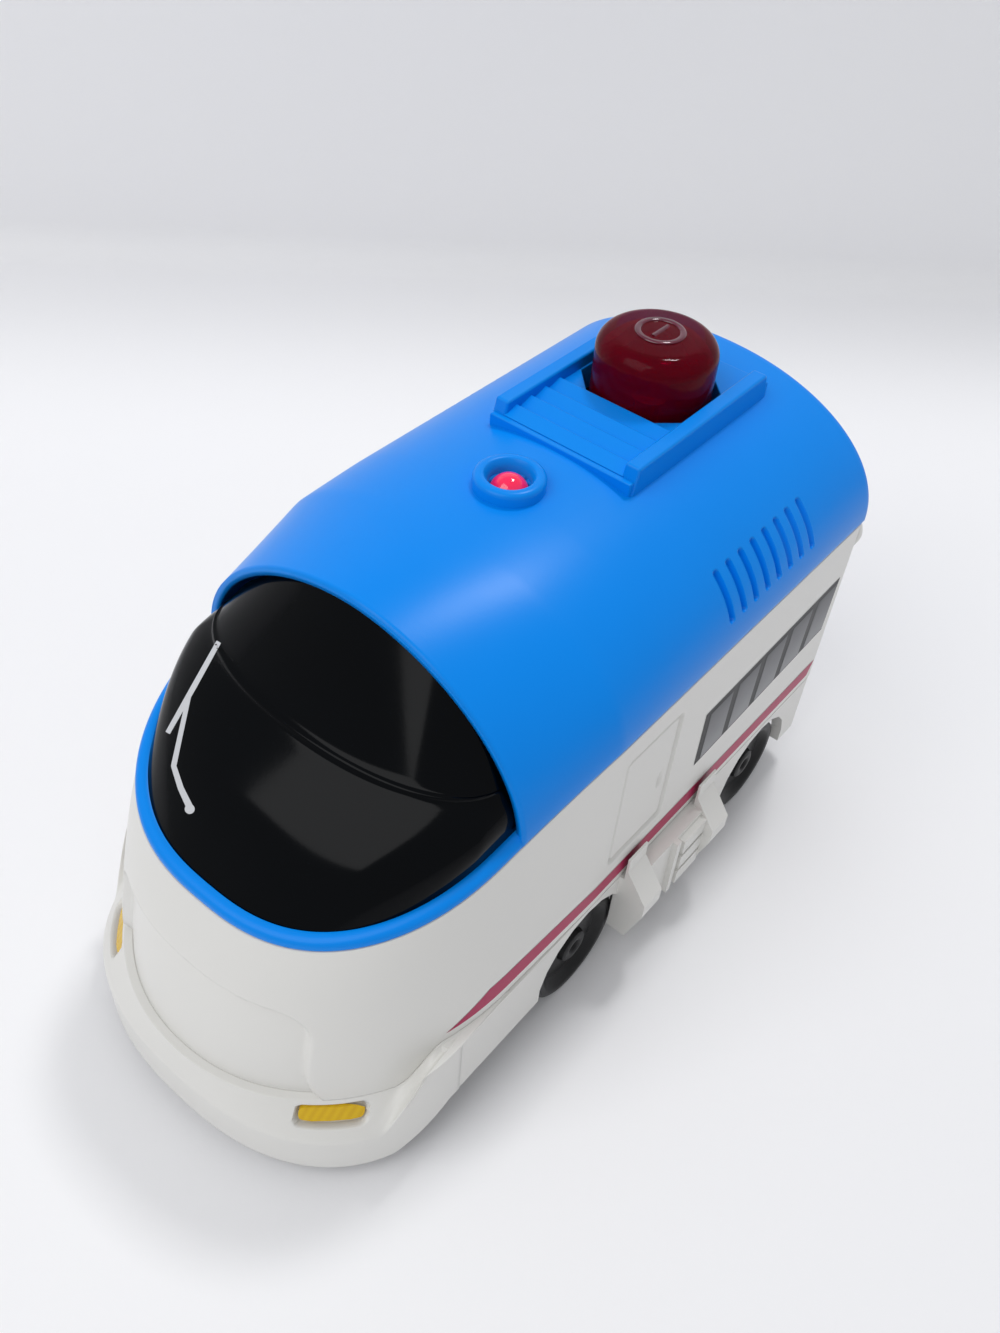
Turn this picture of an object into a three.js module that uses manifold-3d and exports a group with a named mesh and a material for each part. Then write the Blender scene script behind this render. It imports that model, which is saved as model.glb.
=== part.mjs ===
// Remote-controlled toy railway engine with a bullet nose, for small children.
// Millimetres, +Z up. The nose points along -Y, the coupler along +Y, and the floor is z = 0.
import * as THREE from 'three';
import { mergeVertices } from 'three/addons/utils/BufferGeometryUtils.js';
import Module from 'manifold-3d';

const wasm = await Module();
wasm.setup();

// Mouldings: overall sizes, walls and clearances
const HALF_WIDTH = 33;
const REAR = 67;
const REAR_CORNER = 2.5;
const WALL = 2.2;
const GAP = 0.3;
const PARTING = 59.2;
const SILL = 22.7;
const LIP = 11.5;
const SIDE_SKIRT = 8.8;
const NOSE_SKIRT = 3.6;

// Nose: where the sides start to curve in, how square the plan is, and its centre line
const NOSE_START = -25;
const NOSE_STEPS = 16;
const NOSE_CREASE = 16.5;
const NOSE_TIP = -61.8;
const CREASE_POWER = 2.1;
const TOP_POWER = 2.8;
const TOP_TAPER = 0.155;
const TAPER_START = -5;
const LIP_START = -36;
const LIP_TIP = -63.2;
const LIP_POWER = 2.4;
const SILL_RAMP = [-48, -38];
const HOOD_DEPTH = 0.7;
const HOOD_HALF_WIDTH = 19.6;
const HOOD_TOP = 34.5;
const HOOD_CORNER = 5;

// Roof and windscreen
const ROOF_RISE = 21;
const ROOF_FRONT = -23;
const ROOF_DIP = 1.3;
const ROOF_LEVEL = 7;
const ROOF_POWER = 2.1;
const ROOF_FRONT_POWER = 1.9;
const ROOF_STEPS = 16;
const RIM_SLOPE = 0.306;
const RIM_WIDTH = 2;
const RIM_HEIGHT = 1.9;
const RIM_WALL = 1.3;
const SCREEN_WALL = 1.5;
const SCREEN_STEPS = 18;
const SCREEN_PILLAR = 2;
const SCREEN_ROWS = 6;
const SCREEN_TUCK = 1.5;
const SCREEN_BULGE = 0.9;
const SCREEN_WRAP = 0.02;
const FOLD_TIP = -33.5;
const FOLD_HEIGHT = 62.3;
const FOLD_POWER = 2.2;
const FOLD_EASE = 0.6;

// Roof furniture: platform with rails, louvres, vents, lamp collar and the power button's hole
const RAIL_OUTER = 13.4;
const RAIL_WIDTH = 2.6;
const RAIL_TOP = 83;
const RAIL_ENDS = [19.9, 58.5];
const PLATFORM_TOP = 80.9;
const LOUVRES = 4;
const LOUVRE_PITCH = 3.6;
const BUTTON_Y = 44.2;
const BUTTON_HOLE = 10.6;
const LAMP_Y = 8.7;
const COLLAR_RADIUS = 5.35;
const COLLAR_TOP = 82.2;
const VENTS = 8;
const VENT_FIRST = 22.5;
const VENT_PITCH = 3.4;
const VENT_WIDTH = 1.1;
const VENT_DEPTH = 0.9;
const VENT_HEIGHTS = [64.5, 71.5];

// Power button and what it works
const BUTTON_RADIUS = 9.7;
const BUTTON_TRAVEL = 2;
const BUTTON_TOP = 90.6;
const BUTTON_WALL = 1.7;
const FLANGE_RADIUS = 12;
const FLANGE_BOTTOM = 73.8;
const FLANGE_TOP = 75.6;
const STEM_RADIUS = 2;
const STEM_BOTTOM = 79.5;
const LAMP_RADIUS = 2.4;
const LAMP_TOP = 81.4;
const BOARD_TOP = 67.6;
const BOARD_THICK = 1.6;
const BOARD_HALF_WIDTH = 14;
const BOARD_ENDS = [2, 60];
const POST_RADIUS = 2.2;

// Side relief: door, steps and equipment box, and the tail lugs
const DOOR = { front: -2, rear: 12, low: 30.7, high: 54.2, depth: 0.5 };
const STEP_STARTS = [3, 23.5];
const STEP_LENGTH = 5;
const STEP_REACH = 5.4;
const STEP_HEIGHTS = [8.2, 27.6];
const LOCKER_REACH = 2.6;
const SLATS = 3;
const TAIL_LUG = { x: 28.4, z: 54.4, radius: 4.2, reach: 2.5 };

// Headlamps in the bumper band
const HEADLAMP = { x: 24, y: -53.9, z: 14.3, turn: 0.62, length: 10, height: 2.1, depth: 2.6 };

// Running gear
const WHEEL_RADIUS = 10.2;
const WHEEL_WIDTH = 5.7;
const WHEEL_INSET = 1;
const WHEEL_SIDES = 18;
const WHEELBASE = 53.5;
const REAR_AXLE = 48;
const AXLE_RADIUS = 1.25;
const AXLE_FIT = 0.25;
const ARCH_CLEARANCE = 1.1;
const TYRE_THICK = 1.9;
const TYRE_WIDTH = 3.6;

// Gear train from the motor to the rear axle
const MODULE = 0.5;
const BACKLASH = 0.1;
const PINION_TEETH = 10;
const WHEEL_TEETH = 26;
const SMALL_TEETH = 12;
const AXLE_TEETH = 24;
const GEAR_LEAN = [0.3, -0.25, -0.3];
const GEAR_WIDTH = 3;
const GEAR_SPACE = 0.6;
const GEAR_SLICE = -10;
const PIN_RADIUS = 1;
const CASE_WALL = 1.2;
const MOTOR = { radius: 10, half: 7.5, length: 25, boss: 3.1 };

// Battery bay, door and cells
const CELL_RADIUS = 5.25;
const CELL_LENGTH = 44.5;
const CELLS = 3;
const CELL_PITCH = 11;
const CELL_NUB = 1;
const BAY_WALL = 1;
const CONTACT_THICK = 0.5;
const CONTACT_REACH = 1.3;
const DOOR_BOTTOM = 5;
const DOOR_THICK = 1.6;
const DECK_THICK = 2;
const LEAD_RADIUS = 0.6;

// Fasteners and coupler
const SCREW_RADIUS = 1.2;
const SCREW_HEAD = 2.5;
const SCREW_LENGTH = 14;
const SCREW_PLACES = [[28, -24], [28, 61.8]];
const BOSS_RADIUS = 3.2;
const COUPLER_REACH = 10;
const COUPLER_HEIGHT = 9.6;
const COUPLER_THICK = 3;
const COUPLER_HALF = 3.2;

const FRONT_AXLE = REAR_AXLE - WHEELBASE;
const WHEEL_OUTER = HALF_WIDTH - WHEEL_INSET;
const DECK_TOP = SILL - GAP;
const DECK_BOTTOM = DECK_TOP - DECK_THICK;
const INNER_HALF = HALF_WIDTH - WALL;

// Looks
const LOOKS = {
  blue: { color: 0x1d7fd8, roughness: 0.35, metalness: 0 },
  white: { color: 0xe4e3de, roughness: 0.38, metalness: 0 },
  black: { color: 0x0b0c0e, roughness: 0.12, metalness: 0 },
  tyre: { color: 0x151515, roughness: 0.8, metalness: 0 },
  wheel: { color: 0x1b1b1c, roughness: 0.5, metalness: 0 },
  red: { color: 0x9c0a28, roughness: 0.1, metalness: 0, transparent: true, opacity: 0.7 },
  lamp: { color: 0xff1c62, roughness: 0.25, metalness: 0 },
  yellow: { color: 0xf0d000, roughness: 0.3, metalness: 0 },
  steel: { color: 0xb8bcc0, roughness: 0.3, metalness: 1 },
  gear: { color: 0xf2efe6, roughness: 0.45, metalness: 0 },
  board: { color: 0x1f6b3a, roughness: 0.5, metalness: 0 },
  cell: { color: 0x3a3d42, roughness: 0.4, metalness: 0.2 },
  leadRed: { color: 0xc02020, roughness: 0.5, metalness: 0 },
  leadBlack: { color: 0x181818, roughness: 0.5, metalness: 0 },
};

// Solids

function closed(points, triangles) {
  const position = new Float32Array(points.flatMap((point) => point.toArray()));
  const geometry = new THREE.BufferGeometry();
  geometry.setAttribute('position', new THREE.BufferAttribute(position, 3));
  let volume = 0;
  for (let i = 0; i < triangles.length; i += 3) {
    const [a, b, c] = triangles.slice(i, i + 3).map((corner) => points[corner]);
    volume += a.dot(b.clone().cross(c));
  }
  geometry.setIndex(volume < 0 ? triangles.slice().reverse() : triangles);
  return geometry;
}

function manifold(vertProperties, corners) {
  const triVerts = new Uint32Array(corners);
  return new wasm.Manifold(new wasm.Mesh({ numProp: 3, vertProperties, triVerts }));
}

function solidOf(geometry) {
  const bare = geometry.clone();
  bare.deleteAttribute('normal');
  bare.deleteAttribute('uv');
  const merged = mergeVertices(bare, 1e-4);
  const corners = merged.index.array;
  const kept = [];
  for (let i = 0; i < corners.length; i += 3) {
    const [a, b, c] = corners.slice(i, i + 3);
    if (a !== b && b !== c && c !== a) kept.push(a, b, c);
  }
  return manifold(merged.attributes.position.array, kept);
}

function geometryOf(solid) {
  const mesh = solid.getMesh();
  const geometry = new THREE.BufferGeometry();
  geometry.setAttribute('position', new THREE.BufferAttribute(mesh.vertProperties, 3));
  geometry.setIndex(new THREE.BufferAttribute(mesh.triVerts, 1));
  geometry.computeVertexNormals();
  return geometry;
}

const train = new THREE.Group();

function place(name, solid, look, parent = train) {
  const mesh = new THREE.Mesh(geometryOf(solid), new THREE.MeshStandardMaterial(look));
  mesh.name = name;
  parent.add(mesh);
  return mesh;
}

function moved(solid, matrix) {
  const geometry = geometryOf(solid).applyMatrix4(matrix);
  const corners = Array.from(geometry.index.array);
  if (matrix.determinant() < 0) corners.reverse();
  return manifold(geometry.attributes.position.array, corners);
}

const union = (...solids) => solids.reduce((whole, solid) => whole.add(solid));
const vec = (x, y, z) => new THREE.Vector3(x, y, z);
const vec2 = ([x, y]) => new THREE.Vector2(x, y);
const at = (solid, x, y, z) => moved(solid, new THREE.Matrix4().makeTranslation(x, y, z));
const flip = (solid) => moved(solid, new THREE.Matrix4().makeScale(-1, 1, 1));
const bothSides = (solid) => solid.add(flip(solid));

function block([x0, x1], [y0, y1], [z0, z1]) {
  const geometry = new THREE.BoxGeometry(x1 - x0, y1 - y0, z1 - z0);
  return solidOf(geometry.translate((x0 + x1) / 2, (y0 + y1) / 2, (z0 + z1) / 2));
}

// Prisms of a two-dimensional outline: along X the outline is (y, z), along Y it is (x, z)
function prism(axis, outline, from, to) {
  const shape = outline instanceof THREE.Shape ? outline : new THREE.Shape(outline.map(vec2));
  const depth = to - from;
  const geometry = new THREE.ExtrudeGeometry(shape, { depth, bevelEnabled: false, curveSegments: 5 });
  if (axis === 'z') return solidOf(geometry.translate(0, 0, from));
  if (axis === 'y') return solidOf(geometry.rotateX(Math.PI / 2).translate(0, to, 0));
  const turn = new THREE.Matrix4().makeBasis(vec(0, 1, 0), vec(0, 0, 1), vec(1, 0, 0));
  return solidOf(geometry.applyMatrix4(turn).translate(from, 0, 0));
}

// Turned shapes: the profile is (radius, height) pairs along the axis named
function turned(axis, profile, sides) {
  const geometry = new THREE.LatheGeometry(profile.map(vec2), sides);
  const solid = axis === 'z' ? geometry.rotateX(Math.PI / 2) : geometry.rotateZ(-Math.PI / 2);
  const corners = Array.from(solid.index.array);
  const position = solid.attributes.position;
  const points = corners.map((i) => vec(0, 0, 0).fromBufferAttribute(position, i));
  return solidOf(closed(points, points.map((_, i) => i)));
}

const rod = (axis, radius, from, to, sides = 10) =>
  turned(axis, [[0, from], [radius, from], [radius, to], [0, to]], sides);

function rounded(x0, x1, z0, z1, radius) {
  const shape = new THREE.Shape();
  shape.moveTo(x0 + radius, z0).lineTo(x1 - radius, z0).quadraticCurveTo(x1, z0, x1, z0 + radius);
  shape.lineTo(x1, z1 - radius).quadraticCurveTo(x1, z1, x1 - radius, z1);
  shape.lineTo(x0 + radius, z1).quadraticCurveTo(x0, z1, x0, z1 - radius);
  shape.lineTo(x0, z0 + radius).quadraticCurveTo(x0, z0, x0 + radius, z0);
  return shape;
}

// A closed solid through a row of outlines; flat gives the plane in which its ends are filled
function loft(outlines, flat) {
  const count = outlines[0].length;
  const triangles = [];
  for (let row = 0; row < outlines.length - 1; row += 1) {
    for (let i = 0; i < count; i += 1) {
      const a = row * count + i;
      const b = row * count + ((i + 1) % count);
      triangles.push(a, b, a + count, b, b + count, a + count);
    }
  }
  const last = (outlines.length - 1) * count;
  const fill = (outline) => THREE.ShapeUtils.triangulateShape(outline.map(flat), []);
  fill(outlines[0]).forEach(([a, b, c]) => triangles.push(c, b, a));
  fill(outlines.at(-1)).forEach(([a, b, c]) => triangles.push(last + a, last + b, last + c));
  return solidOf(closed(outlines.flat(), triangles));
}

// A moulded skin of even wall: a grid over a surface, with a second grid inside it
function skin(surface, columns, rows, wall) {
  const inside = vec(0, NOSE_START, SILL);
  const nudge = 1e-3;
  const limit = (value) => Math.min(1, Math.max(0, value));
  const slope = (low, high) => surface(...high.map(limit)).sub(surface(...low.map(limit)));
  const outer = [];
  const inner = [];
  for (let row = 0; row <= rows; row += 1) {
    for (let column = 0; column <= columns; column += 1) {
      const [u, v] = [column / columns, row / rows];
      const point = surface(u, v);
      const normal = slope([u - nudge, v], [u + nudge, v]).cross(slope([u, v - nudge], [u, v + nudge]));
      normal.normalize();
      if (normal.dot(point.clone().sub(inside)) < 0) normal.negate();
      outer.push(point);
      inner.push(point.clone().addScaledVector(normal, -wall));
    }
  }
  const width = columns + 1;
  const far = outer.length;
  const triangles = [];
  const quad = (a, b, c, d) => triangles.push(a, b, c, a, c, d);
  for (let row = 0; row < rows; row += 1) {
    for (let column = 0; column < columns; column += 1) {
      const a = row * width + column;
      quad(a, a + 1, a + width + 1, a + width);
      quad(far + a + width, far + a + width + 1, far + a + 1, far + a);
    }
  }
  for (let column = 0; column < columns; column += 1) {
    const top = rows * width + column;
    quad(column + 1, column, far + column, far + column + 1);
    quad(top, top + 1, far + top + 1, far + top);
  }
  for (let row = 0; row < rows; row += 1) {
    const a = row * width;
    const b = a + columns;
    quad(a, a + width, far + a + width, far + a);
    quad(b + width, b, far + b, far + b + width);
  }
  return solidOf(closed(outer.concat(inner), triangles));
}

// Half a superellipse as (across, ahead) pairs from (1, 0) over (0, 1) to (-1, 0)
const bend = (value, power) => Math.sign(value) * Math.abs(value) ** (2 / power);
const arc = (share, power) => [
  bend(Math.cos(Math.PI * share), power),
  bend(Math.sin(Math.PI * share), power),
];

// Outer hull: plan outlines stacked up in Z, drawn in at the top ahead of the doors

const noseProfile = new THREE.SplineCurve([
  [0, 0], [1.7, 0.2], [4.6, 0.41], [8.4, 0.65], [14, 0.85], [24, 1.07],
].map(([back, share]) => vec2([NOSE_TIP + back, NOSE_CREASE + share * (PARTING - NOSE_CREASE)])));
const PROFILE = noseProfile.getPoints(60);

function noseFront(z) {
  const above = Math.max(1, PROFILE.findIndex((point) => point.y >= z));
  const [low, high] = [PROFILE[above - 1], PROFILE[above]];
  return low.x + ((high.x - low.x) * (z - low.y)) / (high.y - low.y);
}

function levelAt(z) {
  const share = (z - NOSE_CREASE) / (PARTING - NOSE_CREASE);
  const power = CREASE_POWER + (TOP_POWER - CREASE_POWER) * share;
  return { z, half: HALF_WIDTH, start: NOSE_START, tip: noseFront(z), power, taper: TOP_TAPER * share };
}

function nosePoint(level, inset, share) {
  const [across, ahead] = arc(share, level.power);
  const y = level.start + (level.tip + inset - level.start) * ahead;
  const half = level.half - inset - level.taper * Math.max(0, TAPER_START - y);
  return [half * across, y];
}

function plan(level, inset) {
  const nose = Array.from({ length: NOSE_STEPS + 1 }, (_, i) => nosePoint(level, inset, 1 - i / NOSE_STEPS));
  const [side, back, cut] = [level.half - inset, REAR - inset, REAR_CORNER * 0.3];
  const right = [
    [side, TAPER_START], [side, back - REAR_CORNER], [side - cut, back - cut], [side - REAR_CORNER, back],
  ];
  return nose.concat(right, right.map(([x, y]) => [-x, y]).reverse());
}

const LIP_PLAN = { half: HALF_WIDTH, start: LIP_START, tip: LIP_TIP, power: LIP_POWER, taper: 0 };
const HULL_LEVELS = [
  { z: LIP - 4, ...LIP_PLAN },
  { z: LIP, ...LIP_PLAN },
  ...[0, 0.16, 0.32, 0.48, 0.64, 0.8, 1.06].map(
    (share) => levelAt(NOSE_CREASE + share * (PARTING - NOSE_CREASE)),
  ),
];

function hull(inset) {
  const rings = HULL_LEVELS.map((level) => plan(level, inset).map(([x, y]) => vec(x, y, level.z)));
  return loft(rings, ({ x, y }) => vec2([x, y]));
}

const rimPlane = (y) => PARTING - RIM_SLOPE * Math.max(0, TAPER_START - y);
const FAR = 90;
const bandAbove = (lift) => prism('x', [
  [FAR, SILL], [FAR, PARTING + lift], [TAPER_START, PARTING + lift], [-FAR, rimPlane(-FAR) + lift],
  [-FAR, LIP], [SILL_RAMP[0], LIP], [SILL_RAMP[1], SILL],
], -FAR, FAR);
const bodyBand = bandAbove(0);

// Body shell: sides, back and nose in one white moulding, open at the top and at the bottom

const lampPlace = new THREE.Matrix4().makeRotationZ(HEADLAMP.turn).setPosition(
  HEADLAMP.x,
  HEADLAMP.y,
  HEADLAMP.z,
);

function headlampSlug(depth, shrink) {
  const [half, tall] = [HEADLAMP.length / 2 - shrink, HEADLAMP.height / 2 - shrink];
  return moved(prism('y', rounded(-half, half, -tall, tall, tall * 0.98), -FAR / 10, depth), lampPlace);
}

const hoodOutline = new THREE.Shape();
const [hoodSide, hoodBend] = [HOOD_HALF_WIDTH, HOOD_HALF_WIDTH - HOOD_CORNER];
hoodOutline.moveTo(-hoodSide - 2, NOSE_CREASE).lineTo(hoodSide + 2, NOSE_CREASE);
hoodOutline.quadraticCurveTo(hoodSide, NOSE_CREASE + 5, hoodSide, HOOD_TOP - HOOD_CORNER);
hoodOutline.quadraticCurveTo(hoodSide, HOOD_TOP, hoodBend, HOOD_TOP).lineTo(-hoodBend, HOOD_TOP);
hoodOutline.quadraticCurveTo(-hoodSide, HOOD_TOP, -hoodSide, HOOD_TOP - HOOD_CORNER);
hoodOutline.quadraticCurveTo(-hoodSide, NOSE_CREASE + 5, -hoodSide - 2, NOSE_CREASE);
const hoodPanel = prism('y', hoodOutline, -FAR, NOSE_START);
const doorShape = (inset, corner) =>
  rounded(DOOR.front + inset, DOOR.rear - inset, DOOR.low + inset, DOOR.high - inset, corner);
const doorPlate = prism('x', doorShape(0, 1.2), INNER_HALF + 1, HALF_WIDTH + DOOR.depth);
const doorInner = prism('x', doorShape(1, 1), HALF_WIDTH + 0.1, FAR);
const outerHull = hull(0);
const innerHull = hull(WALL);
const screwBoss = (x, y) => at(rod('z', BOSS_RADIUS, SILL, SILL + SCREW_LENGTH + 4), x, y, 0);
const screwBore = (x, y) => at(rod('z', SCREW_RADIUS + GAP, SILL - FAR, SILL + SCREW_LENGTH), x, y, 0);
const lugPlace = new THREE.Matrix4().makeRotationX(-Math.PI / 2);
lugPlace.setPosition(TAIL_LUG.x, REAR - WALL, TAIL_LUG.z);
const tailLug = moved(rod('z', TAIL_LUG.radius, 0, TAIL_LUG.reach + WALL, 14), lugPlace);
let body = outerHull.subtract(innerHull).intersect(bodyBand);
body = body.subtract(hoodPanel.subtract(hull(HOOD_DEPTH)));
body = union(body, bothSides(doorPlate.subtract(doorInner)), bothSides(tailLug));
const lampPocket = headlampSlug(HEADLAMP.depth, 0);
const lampSeat = headlampSlug(HEADLAMP.depth + WALL, -WALL * 0.6).intersect(hull(0.4)).intersect(bodyBand);
body = union(body, bothSides(lampSeat.subtract(headlampSlug(-1, -FAR / 20)))).subtract(bothSides(lampPocket));
for (const [x, y] of SCREW_PLACES) {
  body = union(body, bothSides(screwBoss(x, y).intersect(hull(1)))).subtract(bothSides(screwBore(x, y)));
}
place('body_shell', body, LOOKS.white);

const headlamp = headlampSlug(HEADLAMP.depth - GAP, GAP).intersect(hull(HOOD_DEPTH));
place('headlamp_right', headlamp, LOOKS.yellow);
place('headlamp_left', flip(headlamp), LOOKS.yellow);

// Roof shell: arched roof, rear gable and the rim that frames the windscreen

function roofOutline(y, inset) {
  const fall = Math.max(0, (ROOF_LEVEL - y) / (ROOF_LEVEL - ROOF_FRONT));
  const base = rimPlane(y);
  const foot = base + GAP - inset;
  const rise = PARTING + ROOF_RISE - ROOF_DIP * fall ** 2 - inset - foot;
  const half = HALF_WIDTH - inset - levelAt(base).taper * Math.max(0, TAPER_START - y);
  const power = ROOF_POWER + (ROOF_FRONT_POWER - ROOF_POWER) * Math.min(1, fall);
  return Array.from({ length: ROOF_STEPS + 1 }, (_, i) => {
    const [across, up] = arc(i / ROOF_STEPS, power);
    return vec(half * across, y, foot + rise * up);
  });
}

function roofSolid(inset) {
  const chamfer = 1;
  const [back, front] = [REAR - inset, ROOF_FRONT - inset];
  const stations = [back - chamfer, ROOF_LEVEL, TAPER_START, -11, -17, front];
  const outlines = stations.map((y) => roofOutline(y, inset));
  const gable = roofOutline(back - chamfer, inset + chamfer).map(({ x, z }) => vec(x, back, z + chamfer));
  const footed = gable.map(({ x, z }) => vec(x, back, Math.max(z, outlines[0][0].z)));
  return loft([footed, ...outlines], ({ x, z }) => vec2([x, z]));
}

// The line where the body's top edge meets the rim, and the direction inwards from it
function rimFoot(share) {
  let level = levelAt(PARTING);
  for (let i = 0; i < 40; i += 1) {
    const wanted = rimPlane(nosePoint(level, 0, share)[1]);
    level = levelAt(level.z + (wanted - level.z) / 3);
  }
  const [x, y] = nosePoint(level, 0, share);
  return vec(x, y, rimPlane(y));
}
function rimInward(share) {
  const [from, to] = [Math.max(0, share - 0.01), Math.min(1, share + 0.01)];
  const along = rimFoot(to).sub(rimFoot(from));
  return vec(along.y, -along.x, 0).normalize();
}
function rimSection(foot, inward) {
  const edges = [
    [0, GAP], [0.1, RIM_HEIGHT * 0.5], [0.7, RIM_HEIGHT * 0.85], [RIM_WIDTH * 0.7, RIM_HEIGHT],
    [RIM_WIDTH, RIM_HEIGHT], [RIM_WIDTH, GAP],
  ];
  return edges.map(([inset, lift]) => foot.clone().addScaledVector(inward, inset).add(vec(0, 0, lift)));
}

const rimShares = Array.from({ length: SCREEN_STEPS + 1 }, (_, i) => i / SCREEN_STEPS);
const rimEnd = (side) => {
  const foot = roofOutline(ROOF_FRONT + 3, 0)[side > 0 ? 0 : ROOF_STEPS];
  foot.z -= GAP;
  return rimSection(foot, vec(-side, 0, 0));
};
const rimRings = rimShares.map((share) => rimSection(rimFoot(share), rimInward(share)));
const rim = loft([rimEnd(1), ...rimRings, rimEnd(-1)], ({ x, z }) => vec2([Math.abs(x), z]));

// Windscreen: one glossy black moulding, a steep upper pane over a flatter lower pane
const archY = ROOF_FRONT + SCREEN_TUCK;
const archOutline = roofOutline(archY, RIM_WALL + 2 * GAP);
const { x: archHalf, z: archFoot } = archOutline[0];
const archRise = archOutline[ROOF_STEPS / 2].z - archFoot;
const archShare = (z) => Math.asin(((z - archFoot) / archRise) ** (ROOF_FRONT_POWER / 2)) / Math.PI;

function screenArch(share) {
  const [across, up] = arc(share, ROOF_FRONT_POWER);
  return vec(archHalf * across, archY, archFoot + archRise * up);
}

// The lower edge goes down one side of the arch, round the nose and up the other side
function screenEdge(u) {
  const side = SCREEN_PILLAR / SCREEN_STEPS;
  const low = archShare(rimPlane(archY) + RIM_HEIGHT + GAP);
  const climb = archShare(FOLD_HEIGHT - FOLD_EASE) - low;
  if (u < side) return screenArch(low + climb * (1 - u / side));
  if (u > 1 - side) return screenArch(1 - low - climb * (1 - (1 - u) / side));
  const along = ((u - side) / (1 - 2 * side)) * (1 + 2 * SCREEN_WRAP) - SCREEN_WRAP;
  const share = Math.min(1, Math.max(0, along));
  const foot = rimFoot(share).addScaledVector(rimInward(share), RIM_WIDTH + GAP);
  foot.y += (Math.abs(along - share) / SCREEN_WRAP) * (ROOF_FRONT - GAP - NOSE_START);
  foot.z = rimPlane(foot.y) + RIM_HEIGHT;
  return foot;
}

function screenSurface(u, v) {
  const top = archShare(FOLD_HEIGHT + FOLD_EASE);
  const end = screenArch(archShare(FOLD_HEIGHT));
  const [across, up] = arc(u, FOLD_POWER);
  const fold = vec(end.x * across, archY + (FOLD_TIP - archY) * up, FOLD_HEIGHT);
  if (v <= 0.5) return screenArch(top + (1 - 2 * top) * u).lerp(fold, v * 2);
  const lower = v * 2 - 1;
  const bulge = SCREEN_BULGE * up * Math.sin(Math.PI * lower);
  return fold.lerp(screenEdge(u), lower).add(vec(0, -bulge, bulge));
}

const screen = skin(screenSurface, SCREEN_STEPS, SCREEN_ROWS, SCREEN_WALL);

const roofOuter = roofSolid(0);
const frontLip = block([-FAR, FAR], [ROOF_FRONT - 1, ROOF_FRONT + SCREEN_TUCK * 2], [0, FAR]);
let roof = roofOuter.subtract(roofSolid(WALL)).subtract(roofSolid(RIM_WALL).intersect(frontLip));
roof = union(roof, rim).subtract(bandAbove(GAP / 2));

const platform = block([-RAIL_OUTER, RAIL_OUTER], RAIL_ENDS, [PLATFORM_TOP - 4, PLATFORM_TOP]);
const rail = block([RAIL_OUTER - RAIL_WIDTH, RAIL_OUTER], RAIL_ENDS, [PLATFORM_TOP - 4, RAIL_TOP]);
const railFoot = block(
  [RAIL_OUTER - 0.5, RAIL_OUTER + 1.6],
  [RAIL_ENDS[0], RAIL_ENDS[0] + 2.4],
  [PLATFORM_TOP - 4, RAIL_TOP - 1.2],
);
const platformParts = union(platform, bothSides(rail), bothSides(railFoot));
roof = union(roof, platformParts.subtract(roofSolid(WALL)));
const louvreEnd = RAIL_OUTER - RAIL_WIDTH + 0.5;
const louvreOutline = [[0, 0], [LOUVRE_PITCH - 0.6, 0], [LOUVRE_PITCH - 0.6, 1], [0, 0.2]];
const louvre = prism('x', louvreOutline, -louvreEnd, louvreEnd);
for (let i = 0; i < LOUVRES; i += 1) {
  roof = union(roof, at(louvre, 0, RAIL_ENDS[0] + 0.8 + i * LOUVRE_PITCH, PLATFORM_TOP - 0.1));
}
const octagonPlace = new THREE.Matrix4().makeRotationZ(Math.PI / 8).setPosition(0, BUTTON_Y, 0);
const octagon = moved(rod('z', BUTTON_HOLE / Math.cos(Math.PI / 8), PARTING, FAR, 8), octagonPlace);
const collar = turned('z', [
  [0, PARTING + ROOF_RISE - WALL],
  [COLLAR_RADIUS, PARTING + ROOF_RISE - WALL],
  [COLLAR_RADIUS, COLLAR_TOP - 0.6],
  [COLLAR_RADIUS - 0.8, COLLAR_TOP], [COLLAR_RADIUS - 1.5, COLLAR_TOP - 0.2], [0, COLLAR_TOP - 2.4],
], 18);
roof = union(roof.subtract(octagon), at(collar, 0, LAMP_Y, 0));
roof = roof.subtract(at(rod('z', LAMP_RADIUS + GAP, PARTING, FAR), 0, LAMP_Y, 0));
const ventFloor = roofSolid(VENT_DEPTH);
for (let i = 0; i < VENTS; i += 1) {
  const start = VENT_FIRST + i * VENT_PITCH;
  const slab = block([RAIL_OUTER, FAR], [start, start + VENT_WIDTH], VENT_HEIGHTS);
  roof = roof.subtract(bothSides(slab.subtract(ventFloor)));
}
const POST_PLACES = [[BOARD_HALF_WIDTH - 3, 16], [BOARD_HALF_WIDTH - 3, BOARD_ENDS[1] - 2.6]];
for (const [x, y] of POST_PLACES) {
  const post = union(
    rod('z', POST_RADIUS, BOARD_TOP + GAP, RAIL_TOP, 12),
    rod('z', POST_RADIUS / 2, BOARD_TOP - BOARD_THICK - 1, RAIL_TOP, 12),
  );
  roof = union(roof, bothSides(at(post, x, y, 0).intersect(roofSolid(1))));
}
place('roof_shell', roof, LOOKS.blue);

place('windscreen', screen, LOOKS.black);

// Chassis: skirt, deck, battery bay, axle pedestals, steps and lockers in one moulding

const chassisBand = prism('x', [
  [FAR, SIDE_SKIRT], [FAR, DECK_TOP], [SILL_RAMP[1], DECK_TOP], [SILL_RAMP[0], LIP - GAP],
  [-FAR, LIP - GAP], [-FAR, NOSE_SKIRT], [SILL_RAMP[0], NOSE_SKIRT], [SILL_RAMP[1], SIDE_SKIRT],
], -FAR, FAR);
const footprint = (inset, low, high) => prism('z', plan(LIP_PLAN, inset), low, high);
let chassis = footprint(0, 0, FAR).intersect(chassisBand).subtract(footprint(WALL, -1, DECK_BOTTOM));

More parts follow.
